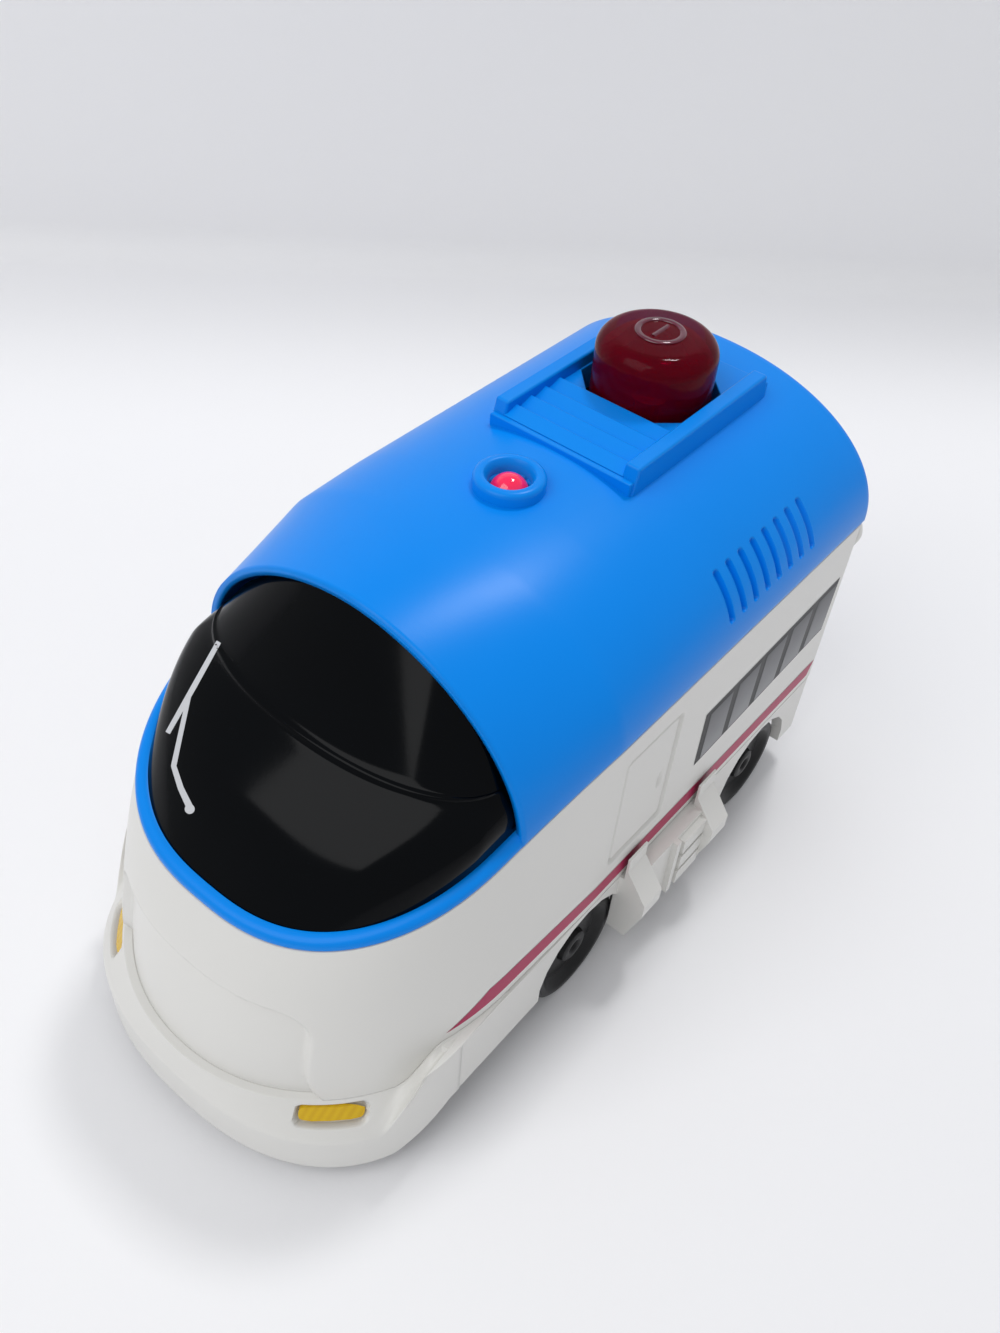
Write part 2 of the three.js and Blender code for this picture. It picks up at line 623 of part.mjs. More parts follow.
const BAY_CENTRE = (REAR_AXLE + FRONT_AXLE) / 2;
const BAY_HALF = (CELLS * CELL_PITCH) / 2 + GAP;
const BAY_REACH = CELL_LENGTH / 2 + GAP + CONTACT_REACH + CONTACT_THICK + GAP;
const DOOR_TOP = DOOR_BOTTOM + DOOR_THICK;
const CELL_HEIGHT = DOOR_TOP + GAP + GAP + CELL_RADIUS;
const BAY_ROOF = CELL_HEIGHT + CELL_RADIUS + GAP;
const span = (middle, half) => [middle - half, middle + half];
const bay = block(
  span(0, BAY_REACH + BAY_WALL),
  span(BAY_CENTRE, BAY_HALF + BAY_WALL),
  [DOOR_TOP + GAP, DECK_BOTTOM + 0.5],
);
chassis = union(chassis, bay).subtract(block(span(0, BAY_REACH), span(BAY_CENTRE, BAY_HALF), [0, BAY_ROOF]));

const arch = rod('x', WHEEL_RADIUS + ARCH_CLEARANCE, WHEEL_OUTER - WHEEL_WIDTH - 0.4, FAR, 18);
for (const y of [FRONT_AXLE, REAR_AXLE]) {
  chassis = chassis.subtract(bothSides(at(arch, 0, y, WHEEL_RADIUS)));
}
const pedestal = block([18, 22], span(FRONT_AXLE, 3.6), [WHEEL_RADIUS - 3.4, DECK_BOTTOM + 0.5]);
const axleBore = at(rod('x', AXLE_RADIUS + AXLE_FIT, -FAR, FAR), 0, FRONT_AXLE, WHEEL_RADIUS);
chassis = union(chassis, bothSides(pedestal)).subtract(axleBore);

const tongue = block(
  [INNER_HALF - GAP - 1.2, INNER_HALF - GAP],
  [TAPER_START, REAR_AXLE + 8],
  [DECK_TOP - 0.5, DECK_TOP + 2.2],
);
chassis = union(chassis, bothSides(tongue));
for (const [x, y] of SCREW_PLACES) {
  const pad = at(rod('z', BOSS_RADIUS, DECK_BOTTOM - 2, DECK_TOP), x, y, 0).intersect(footprint(0.5, 0, FAR));
  const bore = at(rod('z', SCREW_RADIUS + GAP, 0, FAR), x, y, 0);
  chassis = union(chassis, bothSides(pad)).subtract(bothSides(bore));
}

const [stepLow, stepHigh] = STEP_HEIGHTS;
const stepMiddle = (stepLow + stepHigh) / 2;
const stepRoot = WHEEL_OUTER + 0.4;
const stepOutline = [
  [stepRoot, stepLow], [HALF_WIDTH + STEP_REACH - 2.4, stepLow], [HALF_WIDTH + STEP_REACH, stepMiddle - 2],
  [HALF_WIDTH + STEP_REACH, stepMiddle + 1], [HALF_WIDTH + 1.2, stepHigh - 3], [HALF_WIDTH + 1.2, stepHigh],
  [HALF_WIDTH + GAP + DOOR.depth, stepHigh], [HALF_WIDTH + GAP + DOOR.depth, DECK_TOP], [stepRoot, DECK_TOP],
];
for (const start of STEP_STARTS) {
  chassis = union(chassis, bothSides(prism('y', stepOutline, start, start + STEP_LENGTH)));
}
const lockerSpan = [STEP_STARTS[0] + STEP_LENGTH - 0.5, STEP_STARTS[1] + 0.5];
const locker = block([stepRoot, HALF_WIDTH + LOCKER_REACH], lockerSpan, [SIDE_SKIRT, DECK_TOP]);
chassis = union(chassis, bothSides(locker));
const slatStart = (lockerSpan[0] + lockerSpan[1]) / 2 + 1;
const slatPitch = (DECK_TOP - SIDE_SKIRT - 1) / SLATS;
const lockerRib = block(
  [stepRoot, HALF_WIDTH + LOCKER_REACH + 1],
  span(slatStart - 1.6, 0.6),
  [SIDE_SKIRT, DECK_TOP],
);
chassis = union(chassis, bothSides(lockerRib));
for (let i = 0; i < SLATS; i += 1) {
  const low = SIDE_SKIRT + 0.8 + i * slatPitch;
  const slat = block(
    [stepRoot, HALF_WIDTH + LOCKER_REACH + 1.2],
    [slatStart, STEP_STARTS[1]],
    [low, low + slatPitch - 1],
  );
  chassis = union(chassis, bothSides(slat));
}

// Gear train: each centre stands off the last by the pitch radii, leaning fore or aft

const pitchRadius = (teeth) => (MODULE * teeth) / 2;
function standOff(from, lean, reach) {
  return { y: from.y + lean * reach, z: from.z + Math.sqrt(1 - lean * lean) * reach };
}
const axleCentre = { y: REAR_AXLE, z: WHEEL_RADIUS };
const apart = (a, b) => pitchRadius(a) + pitchRadius(b) + BACKLASH;
const secondCentre = standOff(axleCentre, GEAR_LEAN[0], apart(AXLE_TEETH, SMALL_TEETH));
const firstCentre = standOff(secondCentre, GEAR_LEAN[1], apart(WHEEL_TEETH, SMALL_TEETH));
const motorCentre = standOff(firstCentre, GEAR_LEAN[2], apart(WHEEL_TEETH, PINION_TEETH));

function gearOutline(teeth, phase) {
  const pitch = pitchRadius(teeth);
  const rows = [[pitch - 1.15 * MODULE, 0.36], [pitch + 0.9 * MODULE, 0.1]];
  const flank = rows.concat(rows.slice().reverse().map(([radius, share]) => [radius, -share]));
  const outline = [];
  for (let tooth = 0; tooth < teeth; tooth += 1) {
    for (const [radius, share] of flank) {
      const angle = phase + ((tooth - share) * 2 * Math.PI) / teeth;
      outline.push([radius * Math.cos(angle), radius * Math.sin(angle)]);
    }
  }
  return outline;
}
const gear = (teeth, phase, from, to) => prism('x', gearOutline(teeth, phase), from, to);

// The phase that puts a tooth gap of the next gear where a tooth of the last one points
function meshed(from, teethFrom, phaseFrom, to, teethTo) {
  const line = Math.atan2(to.z - from.z, to.y - from.y);
  return line + Math.PI - ((phaseFrom - line) * teethFrom) / teethTo + Math.PI / teethTo;
}
const secondSmallPhase = meshed(axleCentre, AXLE_TEETH, 0, secondCentre, SMALL_TEETH);
const firstSmallPhase = meshed(secondCentre, WHEEL_TEETH, secondSmallPhase, firstCentre, SMALL_TEETH);
const pinionPhase = meshed(firstCentre, WHEEL_TEETH, firstSmallPhase, motorCentre, PINION_TEETH);

const SLICE_A = [GEAR_SLICE, GEAR_SLICE + GEAR_WIDTH];
const SLICE_B = SLICE_A.map((x) => x + GEAR_WIDTH + GEAR_SPACE);
const SLICE_C = SLICE_B.map((x) => x + GEAR_WIDTH + GEAR_SPACE);
const CASE_LEFT = SLICE_A[0] - GEAR_SPACE;
const CASE_RIGHT = SLICE_C[1] + GEAR_SPACE;
const shaftBore = (radius) => rod('x', radius, -FAR, FAR);

const wheelTip = pitchRadius(WHEEL_TEETH) + MODULE;
const caseFront = Math.min(firstCentre.y, axleCentre.y) - wheelTip - GEAR_SPACE;
const caseBack = secondCentre.y + wheelTip + GEAR_SPACE;
const caseFloor = WHEEL_RADIUS - pitchRadius(AXLE_TEETH) - MODULE - GEAR_SPACE;
const caseTop = motorCentre.z + pitchRadius(PINION_TEETH) + MODULE + GEAR_SPACE;
const caseOuter = (from, to) => prism('x', rounded(
  caseFront - CASE_WALL,
  caseBack + CASE_WALL,
  caseFloor - CASE_WALL,
  caseTop + CASE_WALL,
  4,
), from, to);
const caseInner = (from, to) => prism('x', rounded(caseFront, caseBack, caseFloor, caseTop, 3), from, to);
const caseSplit = (CASE_LEFT + CASE_RIGHT) / 2;
const caseBores = union(
  at(shaftBore(AXLE_RADIUS + AXLE_FIT), 0, axleCentre.y, axleCentre.z),
  at(shaftBore(PIN_RADIUS + AXLE_FIT), 0, secondCentre.y, secondCentre.z),
  at(shaftBore(PIN_RADIUS + AXLE_FIT), 0, firstCentre.y, firstCentre.z),
);
const motorMouth = at(rod('x', MOTOR.boss + GAP, 0, FAR, 20), 0, motorCentre.y, motorCentre.z);
const caseHalf = (outer, inner) => caseOuter(...outer).subtract(caseInner(...inner)).subtract(caseBores);
place('gearbox_left', caseHalf([CASE_LEFT - CASE_WALL, caseSplit - GAP / 2], [CASE_LEFT, FAR]), LOOKS.gear);
const rightHalf = caseHalf([caseSplit + GAP / 2, CASE_RIGHT + CASE_WALL], [-FAR, CASE_RIGHT]);
place('gearbox_right', rightHalf.subtract(motorMouth), LOOKS.gear);

const caseHole = block(
  [CASE_LEFT - CASE_WALL - GAP, CASE_RIGHT + CASE_WALL + GAP],
  [caseFront - CASE_WALL - GAP, caseBack + CASE_WALL + GAP],
  [0, FAR],
);
const COUPLER_PIVOT = caseBack + CASE_WALL + 2 * GAP + COUPLER_HALF;
const couplerLug = block(
  span(0, 7),
  [caseBack + CASE_WALL + 2 * GAP, REAR - WALL / 2],
  [COUPLER_HEIGHT + COUPLER_THICK + GAP, DECK_BOTTOM + 0.5],
);
const couplerMouth = block(
  span(0, COUPLER_HALF * 2.4),
  [COUPLER_PIVOT, FAR],
  [0, COUPLER_HEIGHT + COUPLER_THICK + GAP],
);
const pivotBore = at(rod('z', SCREW_RADIUS + GAP, 0, DECK_BOTTOM - 2), 0, COUPLER_PIVOT, 0);
chassis = union(chassis.subtract(caseHole), couplerLug).subtract(couplerMouth).subtract(pivotBore);

const cellPlace = (i) => BAY_CENTRE + (i - (CELLS - 1) / 2) * CELL_PITCH;
const contactMiddle = BAY_REACH - GAP - CONTACT_THICK / 2;
const leadHole = rod('z', LEAD_RADIUS + GAP, 0, FAR, 10);
chassis = chassis.subtract(at(leadHole, contactMiddle, cellPlace(0), 0));
chassis = chassis.subtract(at(leadHole, -contactMiddle, cellPlace(CELLS - 1), 0));
const doorScrewPlace = [0, BAY_CENTRE - BAY_HALF - BAY_WALL - BOSS_RADIUS - GAP];
const doorBoss = at(rod('z', BOSS_RADIUS, DOOR_TOP + GAP, DECK_BOTTOM + 0.5), ...doorScrewPlace, 0);
chassis = union(chassis, doorBoss).subtract(
  at(rod('z', SCREW_RADIUS + GAP, 0, DECK_BOTTOM - 1), ...doorScrewPlace, 0),
);
place('chassis_tray', chassis, LOOKS.white);

// Battery door on the underside, held by one screw in a tab

const doorPanel = union(
  block(span(0, BAY_REACH + BAY_WALL), span(BAY_CENTRE, BAY_HALF + BAY_WALL), [DOOR_BOTTOM, DOOR_TOP]),
  at(rod('z', BOSS_RADIUS + 1, DOOR_BOTTOM, DOOR_TOP), ...doorScrewPlace, 0),
  block(span(0, BOSS_RADIUS + 1), [doorScrewPlace[1], BAY_CENTRE], [DOOR_BOTTOM, DOOR_TOP]),
);
const doorScrewHole = at(rod('z', SCREW_RADIUS + GAP, 0, FAR), ...doorScrewPlace, 0);
place('battery_door', doorPanel.subtract(doorScrewHole), LOOKS.white);

// Screws: pan head below, shank upwards from the seat

function screw(seat, length) {
  return turned('z', [
    [0, seat - 1.9], [SCREW_HEAD - 0.7, seat - 1.9], [SCREW_HEAD, seat - 1.2], [SCREW_HEAD, seat - GAP],
    [SCREW_RADIUS, seat - GAP], [SCREW_RADIUS, seat + length - 1], [0, seat + length],
  ], 8);
}
let screwCount = 0;
for (const [x, y] of SCREW_PLACES) {
  for (const side of [1, -1]) {
    screwCount += 1;
    const seat = DECK_BOTTOM - 2;
    const fastener = screw(seat, SILL - seat + SCREW_LENGTH - 2);
    place(`body_screw_${screwCount}`, fastener, LOOKS.steel).position.set(side * x, y, 0);
  }
}
place('battery_door_screw', screw(DOOR_BOTTOM, 10), LOOKS.steel).position.set(...doorScrewPlace, 0);

// Cells lie across the engine, turned end for end, with plates at their ends

const cellHalf = CELL_LENGTH / 2;
const cell = turned('x', [
  [0, -cellHalf], [CELL_RADIUS - 0.6, -cellHalf],
  [CELL_RADIUS, -cellHalf + 0.6],
  [CELL_RADIUS, cellHalf - CELL_NUB - 0.6],
  [CELL_RADIUS - 0.6, cellHalf - CELL_NUB], [1.9, cellHalf - CELL_NUB], [1.9, cellHalf], [0, cellHalf],
], 10);
for (let i = 0; i < CELLS; i += 1) {
  const mesh = place(`battery_${i + 1}`, i % 2 ? flip(cell) : cell, LOOKS.cell);
  mesh.position.set(0, cellPlace(i), CELL_HEIGHT);
}
function contact(first, last) {
  const plate = block(
    span(contactMiddle, CONTACT_THICK / 2),
    [cellPlace(first) - 4, cellPlace(last) + 4],
    span(CELL_HEIGHT, 4.4),
  );
  const bumps = [first, last].map((i) => at(
    turned('x', [[0, cellHalf + GAP], [1.4, cellHalf + GAP], [2.6, contactMiddle], [0, contactMiddle]], 8),
    0,
    cellPlace(i),
    CELL_HEIGHT,
  ));
  return union(plate, ...bumps);
}
place('contact_positive', contact(0, 0), LOOKS.steel);
place('contact_bridge_right', contact(1, 2), LOOKS.steel);
place('contact_bridge_left', flip(contact(0, 1)), LOOKS.steel);
place('contact_negative', flip(contact(2, 2)), LOOKS.steel);

// Motor: a flat-sided can with its boss in the gearbox wall

const canOutline = new THREE.Shape();
const canTurn = Math.asin(MOTOR.half / MOTOR.radius);
canOutline.absarc(0, 0, MOTOR.radius, -canTurn, canTurn);
canOutline.absarc(0, 0, MOTOR.radius, Math.PI - canTurn, Math.PI + canTurn);
const canFront = CASE_RIGHT + CASE_WALL + GAP;
const shaftDepth = 8;
const motor = union(
  prism('x', canOutline, canFront, canFront + MOTOR.length),
  rod('x', MOTOR.boss, CASE_RIGHT + GAP, canFront + 1, 18),
).subtract(rod('x', PIN_RADIUS + AXLE_FIT, 0, canFront + shaftDepth + GAP));
place('motor', motor, LOOKS.steel).position.set(0, motorCentre.y, motorCentre.z);

// Moving wheels and gears

const hub = WHEEL_OUTER - WHEEL_WIDTH;
const boreEnd = WHEEL_OUTER - 1.6;
const wheelFace = [[4, boreEnd + 0.7], [5, WHEEL_OUTER - 1.4], [7.2, WHEEL_OUTER - 1.4]];
const plainWheel = turned('x', [
  [AXLE_RADIUS + 0.15, hub], [WHEEL_RADIUS - 0.8, hub],
  [WHEEL_RADIUS, hub + 0.8], [WHEEL_RADIUS, WHEEL_OUTER - 0.8],
  [WHEEL_RADIUS - 0.8, WHEEL_OUTER], [8, WHEEL_OUTER],
  ...wheelFace.slice().reverse(), [0, boreEnd + 0.7],
  [0, boreEnd],
  [AXLE_RADIUS + 0.15, boreEnd], [AXLE_RADIUS + 0.15, hub],
], WHEEL_SIDES);
const tread = (hub + WHEEL_OUTER) / 2;
const tyreHalf = TYRE_WIDTH / 2;
const grooveRadius = WHEEL_RADIUS - TYRE_THICK - GAP;
const flangeRadius = WHEEL_RADIUS - 0.7;
const drivenWheel = turned('x', [
  [AXLE_RADIUS + 0.15, hub], [flangeRadius, hub],
  [flangeRadius, tread - tyreHalf - GAP],
  [grooveRadius, tread - tyreHalf - GAP],
  [grooveRadius, tread + tyreHalf + GAP], [flangeRadius, tread + tyreHalf + GAP], [flangeRadius, WHEEL_OUTER],
  [grooveRadius - 0.6, WHEEL_OUTER], ...wheelFace.slice(0, 2).reverse(), [0, boreEnd + 0.7], [0, boreEnd],
  [AXLE_RADIUS + 0.15, boreEnd], [AXLE_RADIUS + 0.15, hub],
], WHEEL_SIDES);
const tyre = turned('x', [
  [grooveRadius + GAP, tread - tyreHalf], [WHEEL_RADIUS, tread - tyreHalf], [WHEEL_RADIUS, tread + tyreHalf],
  [grooveRadius + GAP, tread + tyreHalf], [grooveRadius + GAP, tread - tyreHalf],
], WHEEL_SIDES);
const axle = rod('x', AXLE_RADIUS, -boreEnd + GAP, boreEnd - GAP, 14);

function axleGroup(y) {
  const group = new THREE.Group();
  group.position.set(0, y, WHEEL_RADIUS);
  train.add(group);
  return group;
}
const frontSet = axleGroup(FRONT_AXLE);
place('front_axle', axle, LOOKS.steel, frontSet);
place('front_wheel_right', plainWheel, LOOKS.wheel, frontSet);
place('front_wheel_left', flip(plainWheel), LOOKS.wheel, frontSet);
const rearSet = axleGroup(REAR_AXLE);
place('rear_axle', axle, LOOKS.steel, rearSet);
place('rear_wheel_right', drivenWheel, LOOKS.wheel, rearSet);
place('rear_wheel_left', flip(drivenWheel), LOOKS.wheel, rearSet);
place('rear_tyre_right', tyre, LOOKS.tyre, rearSet);
place('rear_tyre_left', flip(tyre), LOOKS.tyre, rearSet);
place(
  'axle_gear',
  gear(AXLE_TEETH, 0, ...SLICE_A).subtract(shaftBore(AXLE_RADIUS + 0.15)),
  LOOKS.gear,
  rearSet,
);

const pinBore = shaftBore(PIN_RADIUS + AXLE_FIT);
const secondGear = union(
  gear(SMALL_TEETH, secondSmallPhase, SLICE_A[0], SLICE_B[0] + 0.1),
  gear(WHEEL_TEETH, secondSmallPhase, ...SLICE_B),
);
const firstGear = union(
  gear(SMALL_TEETH, firstSmallPhase, SLICE_B[0], SLICE_C[0] + 0.1),
  gear(WHEEL_TEETH, firstSmallPhase, ...SLICE_C),
);
const gearPin = rod('x', PIN_RADIUS, CASE_LEFT - CASE_WALL, CASE_RIGHT + CASE_WALL, 12);
const stages = [['first', firstGear, firstCentre], ['second', secondGear, secondCentre]];
for (const [stage, solid, centre] of stages) {
  place(`${stage}_gear`, solid.subtract(pinBore), LOOKS.gear).position.set(0, centre.y, centre.z);
  place(`${stage}_gear_pin`, gearPin, LOOKS.steel).position.set(0, centre.y, centre.z);
}
const pinion = union(
  gear(PINION_TEETH, pinionPhase, ...SLICE_C),
  rod('x', PIN_RADIUS, SLICE_C[0], canFront + shaftDepth, 12),
);
place('motor_pinion', pinion, LOOKS.steel).position.set(0, motorCentre.y, motorCentre.z);

// Coupler: a swinging drawbar with an upright peg, on a shouldered screw

const pegPlace = REAR + COUPLER_REACH - COUPLER_HALF;
const barOutline = new THREE.Shape();
barOutline.absarc(0, COUPLER_PIVOT, COUPLER_HALF, Math.PI, 2 * Math.PI);
barOutline.absarc(0, pegPlace, COUPLER_HALF, 0, Math.PI);
const drawbar = union(
  prism('z', barOutline, COUPLER_HEIGHT, COUPLER_HEIGHT + COUPLER_THICK),
  at(
    turned('z', [[0, 0], [2.2, 0], [2.2, 5], [1.6, 5.8], [0, 5.8]], 14),
    0,
    pegPlace,
    COUPLER_HEIGHT + COUPLER_THICK - 0.1,
  ),
).subtract(at(rod('z', SCREW_RADIUS + GAP, 0, FAR), 0, COUPLER_PIVOT, 0));
place('rear_coupler', drawbar, LOOKS.white);
const couplerScrew = screw(COUPLER_HEIGHT, DECK_BOTTOM - COUPLER_HEIGHT - 3);
place('coupler_screw', couplerScrew, LOOKS.steel).position.set(0, COUPLER_PIVOT, 0);

// Circuit board under the roof, with the receiver, the lamp and the push switch standing on it

const boardLow = BOARD_TOP - BOARD_THICK;
let board = block(span(0, BOARD_HALF_WIDTH), BOARD_ENDS, [boardLow, BOARD_TOP]);
for (const [x, y] of POST_PLACES) {
  board = board.subtract(bothSides(at(rod('z', POST_RADIUS / 2 + GAP, 0, FAR, 12), x, y, 0)));
}
place('circuit_board', board, LOOKS.board);

const partSeat = BOARD_TOP + GAP;
const plungerRadius = 1.5;
const plungerFoot = FLANGE_BOTTOM - BUTTON_TRAVEL;
const switchBore = at(rod('z', plungerRadius + GAP, plungerFoot - BUTTON_TRAVEL - GAP, FAR), 0, BUTTON_Y, 0);
const switchCase = block(span(0, 2.4), span(BUTTON_Y, 3), [partSeat, FLANGE_BOTTOM]).subtract(switchBore);
place('power_switch', switchCase, LOOKS.black);
const plunger = rod('z', plungerRadius, plungerFoot, STEM_BOTTOM - GAP, 12);
place('switch_plunger', at(plunger, 0, BUTTON_Y, 0), LOOKS.gear);
const receiver = block([-7.2, -2.7], span(BUTTON_Y, 2), [partSeat, FLANGE_TOP]);
place('ir_receiver', receiver, LOOKS.black);

const lampShoulder = LAMP_TOP - LAMP_RADIUS;
const lamp = turned('z', [
  [0, partSeat], [LAMP_RADIUS + 0.5, partSeat],
  [LAMP_RADIUS + 0.5, partSeat + 1],
  [LAMP_RADIUS, partSeat + 1],
  [LAMP_RADIUS, lampShoulder], ...[0.25, 0.5, 0.75].map((share) => [
    LAMP_RADIUS * Math.cos((share * Math.PI) / 2),
    lampShoulder + LAMP_RADIUS * Math.sin((share * Math.PI) / 2),
  ]), [0, LAMP_TOP],
], 10);
place('indicator_lamp', at(lamp, 0, LAMP_Y, 0), LOOKS.lamp);

// Power button: a hollow red cap with a flange under the roof and a stem over the switch

const capInner = BUTTON_RADIUS - BUTTON_WALL;
const cap = turned('z', [
  [0, STEM_BOTTOM], [STEM_RADIUS, STEM_BOTTOM],
  [STEM_RADIUS, BUTTON_TOP - 4.2],
  [capInner - 1.2, BUTTON_TOP - 4.2],
  [capInner, BUTTON_TOP - 5.4], [capInner, FLANGE_BOTTOM],
  [FLANGE_RADIUS, FLANGE_BOTTOM], [FLANGE_RADIUS, FLANGE_TOP],
  [BUTTON_RADIUS, FLANGE_TOP], [BUTTON_RADIUS, BUTTON_TOP - 3.2], [BUTTON_RADIUS - 0.4, BUTTON_TOP - 1.6],
  [BUTTON_RADIUS - 1.4, BUTTON_TOP - 0.4],
  [BUTTON_RADIUS - 2.6, BUTTON_TOP],
  [BUTTON_RADIUS - 3.4, BUTTON_TOP - 0.3],
  [BUTTON_RADIUS - 4, BUTTON_TOP - 0.8], [0, BUTTON_TOP - 0.8],
], 18);
place('power_button', at(cap, 0, BUTTON_Y, 0), LOOKS.red);

// Leads: battery plates and motor up to the board

function lead(points) {
  const path = new THREE.CatmullRomCurve3(points.map(([x, y, z]) => vec(x, y, z)));
  const section = new THREE.Shape().absarc(0, 0, LEAD_RADIUS, 0, 2 * Math.PI);
  return solidOf(new THREE.ExtrudeGeometry(section, { steps: 8, curveSegments: 3, extrudePath: path }));
}
const leadTop = boardLow - GAP;
const leadIn = BOARD_HALF_WIDTH - 2;
function batteryLead(side, i) {
  const [x, y, low] = [side * contactMiddle, cellPlace(i), CELL_HEIGHT + 4.4 + GAP];
  return lead(
    [
      [x, y, low],
      [x, y, low + 10],
      [x, y, PARTING - 18],
      [side * leadIn, y, PARTING],
      [side * leadIn, y, leadTop],
    ],
  );
}
function motorLead(shift) {
  const [x, y, low] = [canFront + MOTOR.length - 4, motorCentre.y + shift, motorCentre.z + MOTOR.half + GAP];
  return lead([[x, y, low], [x, y, low + 4], [leadIn, y, PARTING], [leadIn, y, leadTop]]);
}
place('battery_lead_red', batteryLead(1, 0), LOOKS.leadRed);
place('battery_lead_black', batteryLead(-1, CELLS - 1), LOOKS.leadBlack);
place('motor_lead_red', motorLead(-3), LOOKS.leadRed);
place('motor_lead_black', motorLead(3), LOOKS.leadBlack);

// The origin is the middle of the part's footprint on the floor
const box = new THREE.Box3().setFromObject(train);
train.position.set(-(box.min.x + box.max.x) / 2, -(box.min.y + box.max.y) / 2, -box.min.z);

export default train;
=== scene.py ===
from math import radians

import bmesh
import bpy
import numpy as np
from mathutils import Matrix, Vector
from mathutils.bvhtree import BVHTree


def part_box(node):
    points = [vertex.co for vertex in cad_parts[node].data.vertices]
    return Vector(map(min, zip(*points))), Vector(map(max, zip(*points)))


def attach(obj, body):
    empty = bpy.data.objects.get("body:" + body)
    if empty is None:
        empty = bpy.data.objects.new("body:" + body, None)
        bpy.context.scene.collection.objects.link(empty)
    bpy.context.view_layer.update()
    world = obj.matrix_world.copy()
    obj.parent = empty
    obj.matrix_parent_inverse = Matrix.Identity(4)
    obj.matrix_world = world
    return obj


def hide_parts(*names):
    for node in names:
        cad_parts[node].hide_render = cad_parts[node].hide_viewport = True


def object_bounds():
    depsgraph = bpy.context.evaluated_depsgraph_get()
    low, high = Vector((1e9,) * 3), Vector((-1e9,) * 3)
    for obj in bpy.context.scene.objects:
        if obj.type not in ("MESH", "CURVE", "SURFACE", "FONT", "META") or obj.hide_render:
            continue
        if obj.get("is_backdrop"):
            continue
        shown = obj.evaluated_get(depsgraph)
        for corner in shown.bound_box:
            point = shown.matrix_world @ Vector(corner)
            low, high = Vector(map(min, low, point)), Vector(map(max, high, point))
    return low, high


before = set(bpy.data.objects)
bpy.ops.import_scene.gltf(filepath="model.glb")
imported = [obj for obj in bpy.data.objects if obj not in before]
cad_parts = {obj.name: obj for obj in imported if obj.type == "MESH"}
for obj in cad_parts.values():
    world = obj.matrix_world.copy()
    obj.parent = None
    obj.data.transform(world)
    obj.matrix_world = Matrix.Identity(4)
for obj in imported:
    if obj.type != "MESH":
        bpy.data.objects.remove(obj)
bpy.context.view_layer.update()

scene = bpy.context.scene
scene.view_settings.view_transform = "Standard"


# Studio
# The engine stands on a pale board that sweeps up into a backdrop and is clear from behind.
# A small lamp hangs high behind it, a large soft box in front, and the room lights the rest.
mm = 0.001
focal = 1218.37

camera_data = bpy.data.cameras.new("camera")
camera_data.sensor_width = 36.0
camera_data.lens = 36.0 * focal / 1333
camera_data.clip_start = 0.01
camera = bpy.data.objects.new("camera", camera_data)
scene.collection.objects.link(camera)
scene.camera = camera
view_right = Vector((0.768713, 0.636498, 0.062859))
view_up = Vector((-0.485453, 0.516640, 0.705279))
view_back = view_right.cross(view_up)
camera_spot = Vector((83.577, -111.467, 184.086)) * mm
view_turn = Matrix((view_right, view_up, view_back)).transposed().to_4x4()
camera.matrix_world = Matrix.Translation(camera_spot) @ view_turn


class Shade:
    """A socket of a finish. Sums written with it become Math nodes."""

    def __init__(self, tree, socket):
        self.tree = tree
        self.socket = socket

    def node(self, kind, settings, inputs, output=0):
        made = self.tree.nodes.new("ShaderNode" + kind)
        for key, value in settings.items():
            setattr(made, key, value)
        for key, value in inputs.items():
            if isinstance(value, Shade):
                self.tree.links.new(value.socket, made.inputs[key])
            else:
                made.inputs[key].default_value = value
        return Shade(self.tree, made.outputs[output]) if made.outputs else None

    def sum(self, operation, first, second):
        return self.node("Math", {"operation": operation}, {0: first, 1: second})

    def __add__(self, other):
        return self.sum("ADD", self, other)

    __radd__ = __add__

    def __sub__(self, other):
        return self.sum("SUBTRACT", self, other)

    def __rsub__(self, other):
        return self.sum("SUBTRACT", other, self)

    def __mul__(self, other):
        return self.sum("MULTIPLY", self, other)

    __rmul__ = __mul__

    def held(self):
        return self.node("Clamp", {}, {"Value": self})

    def blend(self, low, high):
        return self.node("Mix", {"data_type": "RGBA"}, {0: self, 6: low, 7: high}, 2)

    def speckle(self, scale, detail=2.0):
        return self.node("TexNoise", {}, {"Vector": self, "Scale": scale, "Detail": detail})


def tint(red, green, blue):
    linear = [(part / 255 / 12.92) if part < 11 else ((part / 255 + 0.055) / 1.055) ** 2.4
              for part in (red, green, blue)]
    return linear + [1.0]


def new_finish(name):
    material = bpy.data.materials.new(name)
    material.use_nodes = True
    material.node_tree.nodes.clear()
    spot = material.node_tree.nodes.new("ShaderNodeTexCoord").outputs["Object"]
    return material, Shade(material.node_tree, spot)


def close_finish(spot, inputs):
    shader = spot.node("BsdfPrincipled", {}, inputs)
    spot.node("OutputMaterial", {}, {"Surface": shader})


def dimmed(colour, share):
    return [part * share for part in colour[:3]] + [1.0]


board_finish, spot = new_finish("pale_board")
pale = tint(245, 245, 247)
clouds = spot.speckle(6.0)
close_finish(spot, {
    "Base Color": clouds.blend(dimmed(pale, 0.97), pale),
    "Roughness": 0.55 + clouds * 0.1,
    "Alpha": 1 - spot.node("NewGeometry", {}, {}, 6),
    "Normal": spot.node("Bump", {}, {"Strength": 0.08, "Distance": 0.0002, "Height": spot.speckle(900.0)}),
})

